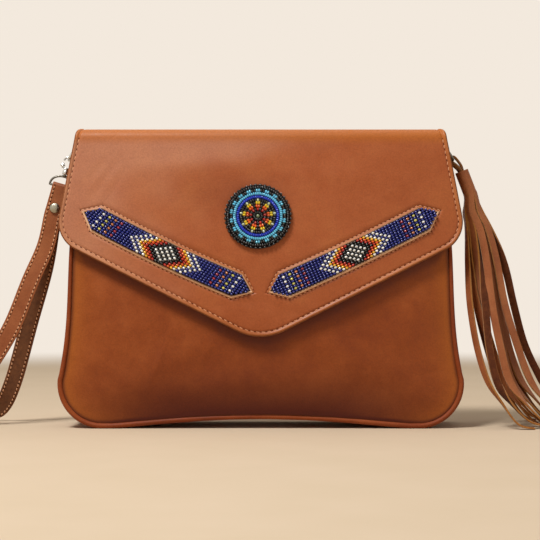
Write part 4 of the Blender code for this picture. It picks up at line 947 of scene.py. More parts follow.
def buildFlap():
    across, rows = flap["grid"]
    fold, top, back = flap["foldSteps"], flap["topSteps"], flap["backSteps"]
    stations = [foldLength + (topEnd - foldLength) * i / fold for i in range(1, fold + 1)]
    stations += [topEnd + (backEnd - topEnd) * i / top for i in range(1, top + 1)]
    stations += [backEnd * (1 - i / back) for i in range(1, back + 1)]
    outline = flapOutline(flap["gridMargin"], stations)
    front = patchRows(flapBorders(flap["gridMargin"], across, rows), across, rows)
    flatRows = [[(p.x, flapLength(p.y)) for p in row] for row in front]
    for half, s in outline[across + rows + 1:]:
        flatRows.append([(half * i / across, s) for i in range(-across, across + 1)])
    work = bmesh.new()
    grid = [[work.verts.new((x, s, 0.0)) for x, s in row] for row in flatRows]
    for lower, upper in zip(grid, grid[1:]):
        for i in range(2 * across):
            work.faces.new((lower[i], lower[i + 1], upper[i + 1], upper[i]))
    right = grid[0][across:] + [row[-1] for row in grid[1:]]
    left = grid[0][across::-1] + [row[0] for row in grid[1:]]
    windows = [(side, windowLoop(work, side)) for side in (-1, 1)]
    work.verts.index_update()
    count = len(work.verts)
    points = [flapPoint(*v.co.xy, depth, flap["relief"])
              for depth in (0.0, flap["leather"]) for v in work.verts]
    faces, slots = [], []
    for face in work.faces:
        ring = [v.index for v in face.verts]
        faces += [tuple(ring), tuple(count + i for i in reversed(ring))]
        slots += [0, 1]

    def joinRows(first, second, slot):
        for i in range(len(first) - 1):
            faces.append((first[i], first[i + 1], second[i + 1], second[i]))
            slots.append(slot)

    def nextRow(above, spots, slot):
        # Lays a row of points, joins the row above to it, and returns it. A loop repeats its first point.
        row = list(range(len(points), len(points) + len(spots)))
        points.extend(spots)
        row += row[:len(above) - len(row)]
        joinRows(above, row, slot)
        return row

    outer = [v.index for v in reversed(left[1:])] + [v.index for v in right]
    lastRow = [v.index for v in grid[-1]]
    joinRows(lastRow, [count + i for i in lastRow], 2)
    above, ends = outer, [[outer[0]], [outer[-1]]]
    for margin, depth, slot in edgeRows(rim["flapRows"], rim["flapGroove"]):
        path = mirrored(flapOutline(margin, stations))
        above = nextRow(above, [flapPoint(p.x, p.y, depth, flap["relief"]) for p in path], slot)
        ends[0].append(above[0])
        ends[1].append(above[-1])
    joinRows(above, [count + i for i in outer], 1)
    for end in ends:
        faces.append(tuple(end + [count + end[0]]))
        slots.append(2)

    for side, loop in windows:
        ring = [vert.index for k, share, vert in loop]
        ring.append(ring[0])
        above = ring
        for grow, depth, slot in edgeRows(rim["windowRows"], rim["windowGroove"]):
            corners = [Vector(c) for c in windowOutline(grow)]
            spots = [corners[k].lerp(corners[(k + 1) % 6], share) for k, share, vert in loop]
            spots = [onFlap(stripPlace(side, *spot), depth) for spot in spots]
            above = nextRow(above, spots, 4 if slot == 2 else slot)
            for index, (k, share, vert) in enumerate(loop):
                if k > 2 and grow < rim["lowerLip"]:  # the top of the lower lip gets the pale raw-edge colour as a painted highlight
                    slots[index - len(loop)] = 4
        joinRows(above, [count + i for i in ring], 1)
    work.free()
    finishes = [flapLeather, fleshSide, shadedCutEdge, rimLeather, windowEdgeAndLitLip]
    piece = addPiece("flapLeather", points, faces, finishes, "folded_flap", ["flap"], "tan_leather", slots)
    work = bmesh.new()
    work.from_mesh(piece.data)
    bmesh.ops.recalc_face_normals(work, faces=work.faces)
    work.to_mesh(piece.data)
    work.free()
    piece.data.shade_smooth()
    markFlapSheenAndShade(piece)


buildFlap()

across, rows = flap["liningGrid"]
borders = flapBorders(flap["liningMargin"], across, rows)
lowest, highest = borders[0][0].y, foldEnd.y
squeeze = (highest - flap["liningStart"] - lowest) / (highest - lowest)
points = [onFlap(Vector((p.x, lowest + (p.y - lowest) * squeeze)), flap["leather"] + flap["liningGap"])
          for row in patchRows(borders, across, rows) for p in row]
lining = addPiece("flapLining", points, gridFaces(2 * across, rows), [liningLeather] * 3, "folded_flap",
                  ["flap_lining"], "lining_leather")
thicken(lining, flap["lining"], rounding=0.15)

# The flap's back edge is one with the back panel: a sewn band that bends where the flap folds.
flapRoot = {"drop": 13.0, "leather": 1.4, "sideGap": 5.0, "stand": 0.35, "ease": 5, "lanes": 60, "rows": 14,
            "rowsBelow": 12}
lanes, points = flapRoot["lanes"], []
for j in range(flapRoot["rows"] + 1):
    drop = flapRoot["drop"] * (1 - j / flapRoot["rowsBelow"])
    atSeam = seamX(min(pouch["height"], pouch["height"] - drop)) - flapRoot["sideGap"]
    half = min(flap["topWidth"] / 2, atSeam)
    if drop > 0:
        z = pouch["height"] + pouch["gap"] - drop
        ease = clamped(drop / flapRoot["ease"])
        y = (halfDepth(z) + flapRoot["stand"] + flapRoot["leather"]) * ease
        y += pouch["topDepth"] / 2 * (1 - ease)
    else:
        y, z = flapProfile(-drop)[0]
    points += [Vector((half * i / lanes, y + 0.05, z)) for i in range(-lanes, lanes + 1)]
root = addPiece("flapRootBand", points, flipped(gridFaces(2 * lanes, flapRoot["rows"])),
                [flapLeather, fleshSide, shadedCutEdge], None)
thicken(root, flapRoot["leather"], rounding=0.35)
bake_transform(root)
print("flap cut and folded")


def sewFlap(name, flats, groove, pitch):
    sunk = -rimHeight(groove, groove)
    normals = [flapNormal(p.x, flapLength(p.y)) for p in flats]
    sew(name, [onFlap(p, sunk) for p in flats], normals, "folded_flap", pitch)


# One row round the flap's free edge, from one shoulder to the other, and one round each window.
borders = flapBorders(rim["flapGroove"], *flap["grid"])
sewFlap("flapEdge", mirrored(borders[0] + borders[3][1:]), rim["flapGroove"], rim["flapPitch"])
outline = windowOutline(rim["windowGroove"])
for side, name in ((-1, "left"), (1, "right")):
    flats = []
    for (a, b), (nextA, nextB) in zip(outline, outline[1:] + outline[:1]):
        along, up = nextA - a, nextB - b
        steps = max(2, round(math.hypot(along, up) / 2))
        flats += [stripPlace(side, a + along * k / steps, b + up * k / steps) for k in range(steps)]
    sewFlap(name + "Window", flats + flats[:1], rim["windowGroove"], rim["windowPitch"])


# Seed beads, hole along X, each a little different from the next.
bead = {
    "sides": 10, "longVaries": 0.04, "wideVaries": 0.03, "tones": (0.82, 1.12),
    "outline": ((-0.46, 0.14), (-0.5, 0.19), (-0.46, 0.28), (-0.35, 0.385), (-0.18, 0.47), (0.0, 0.5)),
}
bored = [*bead["outline"], *((-x, r) for x, r in reversed(bead["outline"][:-1]))]
beadsBy = {}


def addBead(group, colour, middle, along, up, long, wide):
    size = [long * jitter(bead["longVaries"]), *(wide * jitter(bead["wideVaries"]) for _ in range(2))]
    beadsBy.setdefault((group, colour), []).append(turnedFrame(middle, along, up, size))


def stripColour(i, j):
    # The woven pattern: a dotted diamond in four stepped bands, a broken white chevron beside them, and
    # columns of dots near the ends.
    steps = abs(i) + abs(j)
    if steps <= 5:
        return "white" if steps in (1, 3) else "black"
    if steps <= 9:
        return ("red", "orange", "yellow", "white")[steps - 6]
    if steps == 11 and abs(j) <= 4:
        return "white"
    if abs(j) in (1, 3) and abs(i) in (16, 18, 20, 22):
        return {16: "rose", 18: "peach", 20: "straw", 22: "white"}[abs(i)]
    return "navy"


for side in (-1, 1):
    innerLean, outerLean = strip["lean"][side]
    last = strip["lastColumn"]
    for i in range(-last, last + 1):
        lean = innerLean + (outerLean - innerLean) * (i + last) / (2 * last)
        for j in range(-strip["lastRow"], strip["lastRow"] + 1):
            b = j * strip["row"]
            a = i * strip["column"] - b * lean
            slope = strip["shoulder"] * abs(b) / (strip["width"] / 2)
            if abs(a) > strip["length"] / 2 - max(strip["endGap"], slope - strip["sideGap"]):
                continue
            flat, higher = stripPlace(side, a, b), stripPlace(side, a - lean, b + 1.0)
            s = flapLength(flat.y)
            normal = flapNormal(flat.x, s)
            across = (flapPoint(higher.x, flapLength(higher.y)) - flapPoint(flat.x, s)).normalized()
            tilt = Matrix.Rotation(math.radians(random.uniform(-strip["turns"], strip["turns"])), 3, normal)
            depth = strip["recess"] + strip["beadWide"] / 2
            depth += random.uniform(-strip["depthVaries"], strip["depthVaries"])
            addBead("strip", stripColour(i, j), flapPoint(flat.x, s) - normal * depth, tilt @ across, normal,
                    strip["beadLong"], strip["beadWide"])

# Behind the beads the loom's black warp closes the window.
wide, tall = strip["warpGrid"]
(end, _), (shoulder, top) = windowOutline(strip["warpGrow"])[:2]
for side, name in ((-1, "left"), (1, "right")):
    points = []
    for j in range(tall + 1):
        b = top * (2 * j / tall - 1)
        reach = end + (shoulder - end) * abs(b) / top
        row = [stripPlace(side, reach * (2 * i / wide - 1), b) for i in range(wide + 1)]
        points += [onFlap(flat, strip["warpDepth"]) for flat in row]
    faces = gridFaces(wide, tall) if side > 0 else flipped(gridFaces(wide, tall))
    warp = addPiece(name + "LoomWarp", points, faces, [blackFelt] * 3, "folded_flap")
    thicken(warp, strip["warp"], offset=0.0, rounding=0.08)

# Rosette rings from the middle out: radius, beads, and the colours that repeat round the ring.
rosette = {
    "x": -1.8, "z": 140.5, "squash": 0.975, "radius": 22.0, "backing": 1.25, "beadWide": 2.15, "dome": 0.5,
    "seat": 1.3, "fill": 0.87, "longest": 1.62, "uneven": 0.1,
    "rings": (
        (2.6, 12, ("black",)),
        (4.85, 18, ("red", "black")),
        (7.0, 27, ("orange", "orange", "black")),
        (9.1, 36, ("yellow", "yellow", "black", "black")),
        (11.15, 45, ("paleGreen", "black", "black", "black", "black")),
        (13.3, 60, ("royal",)),
        (15.55, 70, ("sky",)),
        (17.8, 72, ("sky", "sky", "black", "black")),
        (20.0, 80, ("black",)),
    ),
    "edging": (21.7, 44), "edgingBead": (1.5, 2.1, 2.1),
}
rosetteS = flapLength(rosette["z"])
rosetteCentre = flapPoint(rosette["x"], rosetteS)
above, below = flapPoint(rosette["x"], rosetteS - 10), flapPoint(rosette["x"], rosetteS + 10)
upward = (above - below).normalized()
outward = Vector((0.0, -upward.z, upward.y))
rightward = Vector((1.0, 0.0, 0.0))


def onRosette(radius, angle, height):
    # angle is clockwise from straight up.
    tall = upward * math.cos(angle) * rosette["squash"]
    return rosetteCentre + (rightward * math.sin(angle) + tall) * radius + outward * height


for radius, count, colours in rosette["rings"]:
    shift = -0.5 if len(colours) > 1 and colours[0] == colours[1] else 0.0  # pairs stand astride a petal
    dome = rosette["dome"] * (1 - (radius / rosette["radius"]) ** 2)
    long = min(2 * math.pi * radius / count * rosette["fill"], rosette["longest"])
    for k in range(count):
        angle = 2 * math.pi * (k + shift) / count
        middle = onRosette(radius + random.uniform(-rosette["uneven"], rosette["uneven"]), angle,
                           rosette["seat"] + rosette["beadWide"] / 2 + dome)
        tangent = rightward * math.cos(angle) - upward * math.sin(angle)
        addBead("rosette", colours[k % len(colours)], middle, tangent, outward, long, rosette["beadWide"])
radius, count = rosette["edging"]
for k in range(count):
    angle = 2 * math.pi * (k + 0.5) / count
    radial = rightward * math.sin(angle) + upward * math.cos(angle)
    middle = onRosette(radius, angle, rosette["seat"] + 0.5)
    beadsBy["rosette", "black"].append(turnedFrame(middle, radial, outward, rosette["edgingBead"]))

stands = {
    ("strip", "black"): ["left_strip_diamond", "right_strip_diamond"],
    ("rosette", "black"): ["rosette_black_rim", "rosette_ground"],
    ("rosette", "sky"): ["rosette_pale_ring"],
    ("rosette", "royal"): ["rosette_deep_ring"],
    ("rosette", "yellow"): ["rosette_flower"],
}
for colour in ("red", "orange", "yellow", "white", "navy"):
    field = "blue" if colour == "navy" else colour
    stands["strip", colour] = [
        f"{hand}_strip_{way}_{field}" for hand in ("left", "right") for way in ("inner", "outer")]
slotOf = {"paleGreen": "pale_green_bead", "rose": "red_bead", "peach": "orange_bead", "straw": "yellow_bead"}
shape = beadMesh(bored, bead["sides"], 0.0, True)
for (group, colour), frames in beadsBy.items():
    tones = [random.uniform(*bead["tones"]) for _ in frames]
    finish = beadFinish.get(group + colour.capitalize(), beadFinish[colour])
    beads = scatter(group + colour[0].upper() + colour[1:] + "Beads", shape, frames, finish, "folded_flap",
                    stands.get((group, colour), ()), slotOf.get(colour, colour + "_bead"))
    mark(beads, beadTone=[tone for tone in tones for _ in shape[0]])

toRosette = Matrix((rightward, upward, outward)).transposed().to_4x4()
toRosette.translation = rosetteCentre
top, edge = rosette["backing"], rosette["radius"] - 0.4
profile = [(0.0, top), (edge - 0.6, top), (edge, top - 0.35), (edge, 0.2), (0.0, 0.2)]
addPiece("rosetteFelt", *latheMesh(profile, 64, toRosette), [blackFelt], "folded_flap",
         ["rosette_backing"], "black_felt")
ball = {"radius": 1.2, "halfHeight": 1.1875, "foot": 1.8, "steps": 12}
profile = [(ball["radius"] * sine, ball["foot"] + ball["halfHeight"] * (1 + cosine))
           for sine, cosine in halfTurn(ball["steps"])]
middleBead = addPiece("rosetteCentreBead", *latheMesh(profile, 20, toRosette), [beadFinish["moss"]],
                      "folded_flap", ["rosette_centre_bead"], "pale_green_bead")
mark(middleBead, beadTone=[1.0] * len(middleBead.data.vertices))
print("beads strung")


# Magnetic snap, hidden while the flap is shut: a socket on the pouch and a stud under the flap.
snap = {
    "z": 86.0, "radius": 7.0, "socketHeight": 1.5, "bore": 2.5, "boreDepth": 1.0, "sunk": 0.3,
    "studHeight": 0.8, "studRadius": 2.0, "studReach": 0.8,
}


def addSnap(name, place, tilt, profile, body, node):
    shape = latheMesh(profile, 48, turnedAt(place, tilt, "X"))
    addPiece(name, *shape, [wornNickel], body, [node], "snap_steel")


full = pouch["bulge"] * fullness(0.0, snap["z"] / pouch["height"])
top, bore, radius = snap["socketHeight"], snap["bore"], snap["radius"]
profile = [(0.0, top - snap["boreDepth"]), (bore, top - snap["boreDepth"]), (bore, top - 0.15),
           (bore + 0.15, top), (radius - 0.5, top), (radius - 0.15, top - 0.12), (radius, top - 0.5),
           (radius, -0.2), (0.0, -0.2)]
face = Vector((0.0, -halfDepth(snap["z"]) - full - snap["sunk"], snap["z"]))
addSnap("snapSocket", face, math.pi / 2 - pouchLean, profile, "pouch", "magnet_socket")
foot, stud = snap["studHeight"] + pouch["gap"], snap["studRadius"]
top = foot + snap["studReach"]
profile = [(0.0, top), (stud - 0.3, top), (stud, top - 0.3), (stud, foot), (radius - 0.3, foot),
           (radius, foot - 0.3), (radius, -0.1), (0.0, -0.1)]
face = flapPoint(0.0, flapLength(snap["z"]), flap["leather"] + pouch["gap"] + flap["lining"])
addSnap("snapStud", face, -math.pi / 2 - pouchLean, profile, "folded_flap", "magnet_stud")


# Side tabs and D-rings. The right side is worked out, and the left mirrors it.
sideRing = {
    "tabWidth": 11.0, "tab": 1.2, "foot": 172.0, "height": 187.0, "wire": 1.0, "half": 7.0, "drop": 9.0,
    "tilt": math.radians(37), "foldUnder": 4.3, "stitchInset": 1.6, "pitch": 2.4,
    "bar": (-5.6, -4.0, -1.5, 1.5, 4.0, 5.6), "wireSteps": 90, "tabSteps": 60, "lanes": 8,
}


def gussetX(z, y):
    reach = halfDepth(z) - pouch["piping"] - pouch["gap"]
    return seamX(z) - pouch["gussetInset"] - pouch["dip"] * (1 - (y / reach) ** 2)


ringX = gussetX(sideRing["height"], sideRing["tabWidth"] / 2) + 2 * pouch["gap"] + sideRing["tab"]
ringBar = Vector((ringX + sideRing["wire"], 0.0, sideRing["height"]))
ringDown = Vector((math.sin(sideRing["tilt"]), 0.0, -math.cos(sideRing["tilt"])))
ringEnd = ringBar + sideRing["drop"] * ringDown

# The right ring takes the darker nickel copy: painted shade.
for hand, side, metal in (("left", -1, brightSteel), ("right", 1, shadedNickel)):
    foot, top, half = sideRing["foot"], sideRing["height"], sideRing["tabWidth"] / 2
    fold = sideRing["wire"] + pouch["gap"] + sideRing["tab"] / 2
    skin = pouch["gap"] + sideRing["tab"] / 2
    layer = skin + sideRing["tab"] + pouch["gap"]
    middle, low = (foot + top) / 2, top - sideRing["foldUnder"]
    path = [Vector((gussetX(z, half) + skin, z)) for z in (foot, middle, top)]
    path += [Vector((ringBar.x - fold * cosine, ringBar.z + fold * sine)) for sine, cosine in halfTurn(16)[1:]]
    path += [Vector((gussetX(z, half) + layer, z)) for z in (low, middle, foot)]
    path, lanes = spaced(path, sideRing["tabSteps"]), sideRing["lanes"]
    points = [Vector((side * p.x, sideRing["tabWidth"] * (j / lanes - 0.5), p.y))
              for p in path for j in range(lanes + 1)]
    faces = gridFaces(lanes, sideRing["tabSteps"])
    faces = faces if side > 0 else flipped(faces)
    tab = addPiece(hand + "TabLeather", points, faces, bodyHide, "pouch", [hand + "_tab"], "tan_leather")
    thicken(tab, sideRing["tab"], offset=0.0, rounding=0.25)
    face = layer + sideRing["tab"] / 2
    for edge, name in ((-1, "Front"), (1, "Back")):
        y = edge * (half - sideRing["stitchInset"])
        path = [Vector((side * (gussetX(z, half) + face), y, z)) for z in (foot + 1.5, foot + 5.0, top - 6.0)]
        sew(hand + "Tab" + name, path, [Vector((float(side), 0.0, 0.0))] * 3, "pouch", sideRing["pitch"])
    start, down = (Vector((side * p.x, 0.0, p.z)) for p in (ringBar, ringDown))
    ring = [start + Vector((0.0, y, 0.0)) for y in sideRing["bar"]]
    for sine, cosine in halfTurn(36):
        aside = Vector((0.0, sideRing["half"] * cosine, 0.0))
        ring.append(start + aside + down * sideRing["drop"] * sine ** 0.7)
    ring = spaced(ring + [ring[0]], sideRing["wireSteps"])[:-1]
    addPiece(hand + "RingWire", *tubeMesh(ring, sideRing["wire"], 14, closed=True), [metal],
             hand + "_side_ring", [hand + "_ring"], "bright_steel")


# Swivel clasp: w runs down its axis from the ring's wire, and u across it, to the left.
clasp = {
    "tilt": math.radians(16), "wire": 0.7, "hook": 2.4, "sag": 1.1,
    "barrel": 2.2, "barrelTop": 5.8, "barrelLength": 4.5, "post": 0.8, "postDepth": 2.8,
    "eyeTop": 11.8, "eyeBar": 19.0, "eyeHalf": 8.2, "eyeWire": 0.75,
    "hookSteps": 60, "leverSteps": 20, "eyeSteps": 100,
}
claspDown = Vector((-math.sin(clasp["tilt"]), 0.0, -math.cos(clasp["tilt"])))
claspAcross = Vector((-math.cos(clasp["tilt"]), 0.0, math.sin(clasp["tilt"])))


def claspPoint(u, w, y=0.0):
    return Vector((-ringEnd.x, y, ringEnd.z)) + claspAcross * u + claspDown * w


def addCasting(name, wire, lathe, metal, body, node):
    # A bent wire and a turned part, cast as one.
    addPiece(name, *joined(wire, lathe), [metal], body, [node], "bright_steel")


def buildClasp():
    reach, middle, top = clasp["hook"] + clasp["wire"], clasp["sag"], clasp["barrelTop"]
    path = [claspPoint(-0.9, top + 1.0), claspPoint(-reach * 0.75, top - 1.0)]
    path += [claspPoint(-reach * cosine, middle - reach * sine) for sine, cosine in halfTurn(10)]
    steps = clasp["hookSteps"]
    radii = [clasp["wire"] * (1.25 - 0.3 * min(1.0, i / 30)) for i in range(steps + 1)]
    turned = turnedAt(claspPoint(0.0, top), clasp["tilt"], "Y")
    r, low, p = clasp["barrel"], -clasp["barrelLength"], clasp["post"]
    bore = p + 0.3
    barrel = [(0.0, 0.3), (r * 0.5, 0.25), (r * 0.85, 0.0), (r, -0.6), (r * 0.82, -1.1), (r * 0.82, -1.5),
              (r, -2.0), (r, 0.6 + low), (r * 0.85, low), (bore, low), (bore, low + 3.1), (0.0, low + 3.1)]
    addCasting("claspHookCasting", tubeMesh(spaced(smoothLine(path, 6), steps), radii, 12),
               latheMesh(barrel, 32, turned), brightSteel, "clasp", "clasp_hook")

    foot, tip = claspPoint(reach * 0.92, top + 0.6), claspPoint(reach, middle + 1.7)
    steps = clasp["leverSteps"]
    path = [foot.lerp(tip, i / steps) for i in range(steps + 1)]
    radii = [clasp["wire"] * (1 + 1.2 * math.exp(-((i - 11) / 4.5) ** 2)) for i in range(steps + 1)]
    turned = turnedAt(foot.lerp(tip, 0.55) + claspAcross * 0.9, clasp["tilt"] - math.pi / 2, "Y")
    nub = [(0.0, 1.0), (0.5, 0.9), (0.85, 0.5), (0.9, 0.0), (0.7, -0.5), (0.0, -0.5)]
    addCasting("claspLeverCasting", tubeMesh(path, radii, 12), latheMesh(nub, 20, turned),
               brightSteel, "lever", "clasp_lever")

    high = clasp["eyeBar"] - clasp["eyeTop"]
    eye = [claspPoint(clasp["eyeHalf"] * cosine, clasp["eyeBar"] - high * sine ** 0.8)
           for sine, cosine in halfTurn(40)]
    eye = spaced(eye + [eye[0]], clasp["eyeSteps"])[:-1]
    turned = turnedAt(claspPoint(0.0, clasp["eyeTop"]), clasp["tilt"], "Y")
    neck = clasp["eyeTop"] - top + low
    post = [(0.0, neck + clasp["postDepth"]), (p, neck + clasp["postDepth"]), (p, neck - 0.3),
            (p * 1.8, neck - 0.3), (p * 2.0, neck - 0.6), (p * 1.7, neck - 1.1), (p * 1.3, -0.4), (0.0, -0.4)]
    # The eye takes the darker nickel copy: painted shade.
    addCasting("claspSwivelEye", tubeMesh(eye, clasp["eyeWire"], 12, closed=True),
               latheMesh(post, 24, turned), shadedNickel, "swivel", "clasp_swivel")


buildClasp()


# Wrist strap: a 12 mm leather ribbon over the clasp's eye, riveted, then one open loop to the table.
# The loop's points, and how far the ribbon leans sideways at each.
strap = {
    "width": 12.0, "leather": 1.3, "rivet": 15.0, "stitchInset": 1.75, "pitch": 2.9, "lanes": 8, "ribs": 200,
    "loop": (
        ((-145.9, -2.6, 120.9), 19), ((-155.6, -5.3, 97.8), 22), ((-167.3, -7.9, 68.0), 25),
        ((-181.0, -9.7, 44.1), 33), ((-192.7, -9.7, 28.0), 42), ((-203.2, -7.0, 16.3), 48),
        ((-210.0, 0.0, 8.8), 52), ((-211.8, 8.5, 6.2), 52), ((-206.5, 18.5, 5.4), 48),
        ((-197.0, 26.5, 5.2), 42), ((-183.0, 25.5, 7.9), 33), ((-171.5, 17.0, 27.0), 24),
        ((-158.6, 10.5, 70.1), 18), ((-147.6, 5.5, 107.4), 17),
    ),
}
layer = strap["leather"] + pouch["gap"]
fold = clasp["eyeWire"] + pouch["gap"] + strap["leather"] / 2


def belowBar(share, y):
    # A share of the way down from the clasp's bar to the rivet.
    return claspPoint(0.0, clasp["eyeBar"] + strap["rivet"] * share, y)


line = [belowBar(1.4, 0.0), belowBar(1.0, 0.0), belowBar(0.65, 0.0), belowBar(0.3, fold * 0.8)]
line += [claspPoint(0.0, clasp["eyeBar"] - fold * sine, fold * cosine) for sine, cosine in halfTurn(16)]
folded = len(line)
line += [belowBar(share, -layer) for share in (0.4, 1.0, 1.4)]
widths = [claspAcross] * len(line)
for point, tilt in strap["loop"]:
    line.append(Vector(point))
    widths.append(Vector((-math.cos(math.radians(tilt)), 0.0, math.sin(math.radians(tilt)))))
line += [belowBar(share, layer) for share in (1.5, 1.0, 0.6)]
widths += [claspAcross] * 3
rest, restWidths = spaced(smoothLine(line[folded:], 10), strap["ribs"], smoothLine(widths[folded:], 10))
ribs, widths = line[:folded] + rest, [w.normalized() for w in widths[:folded] + restWidths]
lanes = strap["lanes"]
points = [p + w * strap["width"] * (j / lanes - 0.5) for p, w in zip(ribs, widths) for j in range(lanes + 1)]
ribbon = addPiece("wristStrapLeather", points, gridFaces(lanes, len(ribs) - 1),
                  [strapLeather, fleshSide, shadedCutEdge], "strap", ["wrist_strap"], "strap_leather")
thicken(ribbon, strap["leather"], offset=0.0)
for edge, name in ((-1, "Outer"), (1, "Inner")):
    path, normals = [], []
    for i in range(folded - 1, len(ribs) - 8):
        normal = (ribs[i + 1] - ribs[i - 1]).normalized().cross(widths[i]).normalized()
        inward = edge * (strap["width"] / 2 - strap["stitchInset"])
        path.append(ribs[i] + widths[i] * inward + normal * strap["leather"] / 2)
        normals.append(normal)
    sew("strap" + name + "Face", path, normals, "strap", strap["pitch"])
    path = [p - n * strap["leather"] for p, n in zip(path, normals)]
    sew("strap" + name + "Back", path, [-n for n in normals], "strap", strap["pitch"])

rivet = {"post": 1.3, "head": 3.5, "dome": 1.6, "washer": 3.0, "washerHeight": 0.6}
stack = layer * 1.5
top, low = stack + 0.05, -stack - rivet["washerHeight"]
turned = turnedAt(belowBar(1.0, 0.0), math.pi / 2, "X")
profile = [(rivet["head"] * sine, stack + 0.3 + rivet["dome"] * cosine) for sine, cosine in halfTurn(20)[:11]]
profile += [(rivet["head"], top), (rivet["post"], top), (rivet["post"], -top), (rivet["washer"], -top),
            (rivet["washer"], low), (rivet["washer"] - 0.4, low - 0.2), (0.0, low - 0.2)]
addPiece("strapRivetCap", *latheMesh(profile, 40, turned), [wornNickel], "strap", ["strap_rivet"], "nickel")
print("clasp and strap hung")


# Tassel: one leather strip rolled into a head, its lower part cut into strands.
tassel = {
    "top": Vector((136.0, 0.0, 172.2)), "tilt": math.radians(21), "head": 14.5, "radius": 5.0, "turns": 1.5,
    "start": math.radians(20), "leather": 1.2, "narrow": 3.4, "wide": 5.0, "curl": 0.3, "lace": 1.0,
    "lanes": 6, "headSteps": 10, "strandSteps": 72, "laceSteps": 80,
    # A strand starts to fall from the head's end, turns and widens on its way down, and lies flat below.
    "fall": 158.0, "turnsBy": 75, "widensBy": 22, "flatFrom": 46.0, "flatOver": 38.0, "wave": 0.21,
    "waveShift": 1.7, "contact": 9, "foot": 2.0, "stackSlope": 0.5, "onTable": 0.1, "onStrand": 0.15,
    "laceSwell": 0.75, "laceFlat": 1.6,
}
# Each strand: how far back it lands, which way its grain side turns (90 is to the viewer, 0 to the
# right), what it lies on (the table, or one strand), and where it falls at the heights below.
tasselFall = (145.0, 132.0, 110.0, 82.0, 54.0, 31.5, 17.5, 8.0, 2.0)
tasselStrands = (
    (-7.5, 78, 1, (148.2, 154.3, 159.8, 164.8, 173.2, 181.5, 191.1, 202.6, 210.6)),
    (-21.0, 96, 0, (143.0, 148.3, 152.3, 155.2, 160.2, 165.8, 175.6, 188.9, 199.4)),
    (-12.0, 112, 0, (140.2, 143.0, 146.1, 147.6, 155.2, 161.9, 171.3, 183.3, 193.5)),
    (-30.0, 138, 0, (138.3, 139.3, 139.5, 140.2, 143.8, 150.3, 159.3, 169.6, 180.6)),
    (21.0, 240, 1, (141.8, 145.6, 149.3, 152.2, 158.5, 166.0, 174.0, 186.0, 197.0)),
    (27.0, 250, 0, (139.7, 142.4, 144.6, 148.5, 156.0, 164.0, 172.9, 182.8, 191.3)),
    (9.0, 270, 1, (145.4, 150.8, 154.4, 158.6, 165.5, 173.5, 182.5, 194.0, 204.0)),
    (15.0, 262, 0, (150.1, 156.4, 165.6, 172.8, 181.0, 191.9, 200.6, 207.3, 211.8)),
    (3.0, 430, 1, (147.2, 152.6, 157.6, 162.2, 168.5, 176.5, 187.0, 198.0, 207.5)),
    (-3.0, 440, 0, (143.8, 149.6, 155.5, 159.6, 163.5, 169.5, 180.0, 193.3, 202.8)),
    (-25.5, 618, 1, (140.2, 144.5, 148.7, 150.6, 152.3, 156.8, 165.2, 178.1, 190.1)),
    (-16.5, 490, 1, (139.0, 140.5, 141.9, 146.0, 154.9, 162.8, 173.1, 185.9, 197.3)),
)
headDown = Vector((math.sin(tassel["tilt"]), 0.0, -math.cos(tassel["tilt"])))
headRight = Vector((math.cos(tassel["tilt"]), 0.0, math.sin(tassel["tilt"])))
headFront = Vector((0.0, -1.0, 0.0))


def headSpoke(angle):
    return headRight * math.cos(angle) + headFront * math.sin(angle)


def rolled(share):
    wound = tassel["turns"] * share
    radius = tassel["radius"] - tassel["leather"] / 2 - (tassel["leather"] + pouch["gap"]) * wound
    return headSpoke(tassel["start"] + 2 * math.pi * wound) * radius


count, lanes, levels, last = len(tasselStrands), tassel["lanes"], tassel["headSteps"], tassel["strandSteps"]
points = []
for level in range(levels + 1):
    centre = tassel["top"] + headDown * (tassel["head"] * level / levels)
    points += [centre + rolled(i / (count * lanes)) for i in range(count * lanes + 1)]
faces = gridFaces(count * lanes, levels)
foot = levels * (count * lanes + 1)
for index, (landsAt, face, stacked, falls) in enumerate(tasselStrands):
    turn = tassel["start"] + 2 * math.pi * tassel["turns"] * (index + 0.5) / count
    start = tassel["top"] + headDown * tassel["head"] + rolled((index + 0.5) / count)
    rest = tassel["leather"] / 2 + tassel["onTable"] + stacked * (tassel["leather"] + tassel["onStrand"])
    path = [start, start + headDown * 3.5]
    for x, z in zip(falls, tasselFall):
        landed = eased((tassel["fall"] - z) / tassel["fall"])
        low = rest + (z - tassel["foot"]) * tassel["stackSlope"]
        height = max(z, rest) if z > tassel["contact"] else low
        path.append(Vector((x, start.y + (landsAt - start.y) * landed, height)))
    track = spaced(smoothLine(path, 8), last)
    above = [foot + index * lanes + k for k in range(lanes + 1)]
    grainUp = 1.0 if math.cos(math.radians(face)) > -0.3 else -1.0
    for step in range(1, last + 1):
        along = (track[min(step + 1, last)] - track[step - 1]).normalized()
        down = start.z - track[step].z
        facing = headSpoke(turn + (math.radians(face) - turn) * eased(down / tassel["turnsBy"]))
        lying = eased((tassel["flatFrom"] - track[step].z) / tassel["flatOver"])
        facing = facing.lerp(Vector((0.0, 0.0, grainUp)), lying)
        facing = (facing - along * facing.dot(along)).normalized()
        across = along.cross(facing)
        width = tassel["narrow"] + (tassel["wide"] - tassel["narrow"]) * eased(down / tassel["widensBy"])
        curl = tassel["curl"] * math.sin(step * tassel["wave"] + index * tassel["waveShift"])
        row = list(range(len(points), len(points) + lanes + 1))
        for k in range(lanes + 1):
            share = k / lanes - 0.5
            points.append(track[step] + across * share * width + facing * curl * (0.5 - 4 * share * share))
        faces += [(above[k], above[k + 1], row[k + 1], row[k]) for k in range(lanes)]
        above = row
# The strands' backs take the darker flesh copy: painted shade between the strands.
strands = addPiece("tasselLeather", points, faces, [strapLeather, shadedFlesh, ochreSuede], "hanging_tassel",
                   ["tassel"], "strap_leather")
thicken(strands, tassel["leather"], offset=0.0, rounding=0.2)

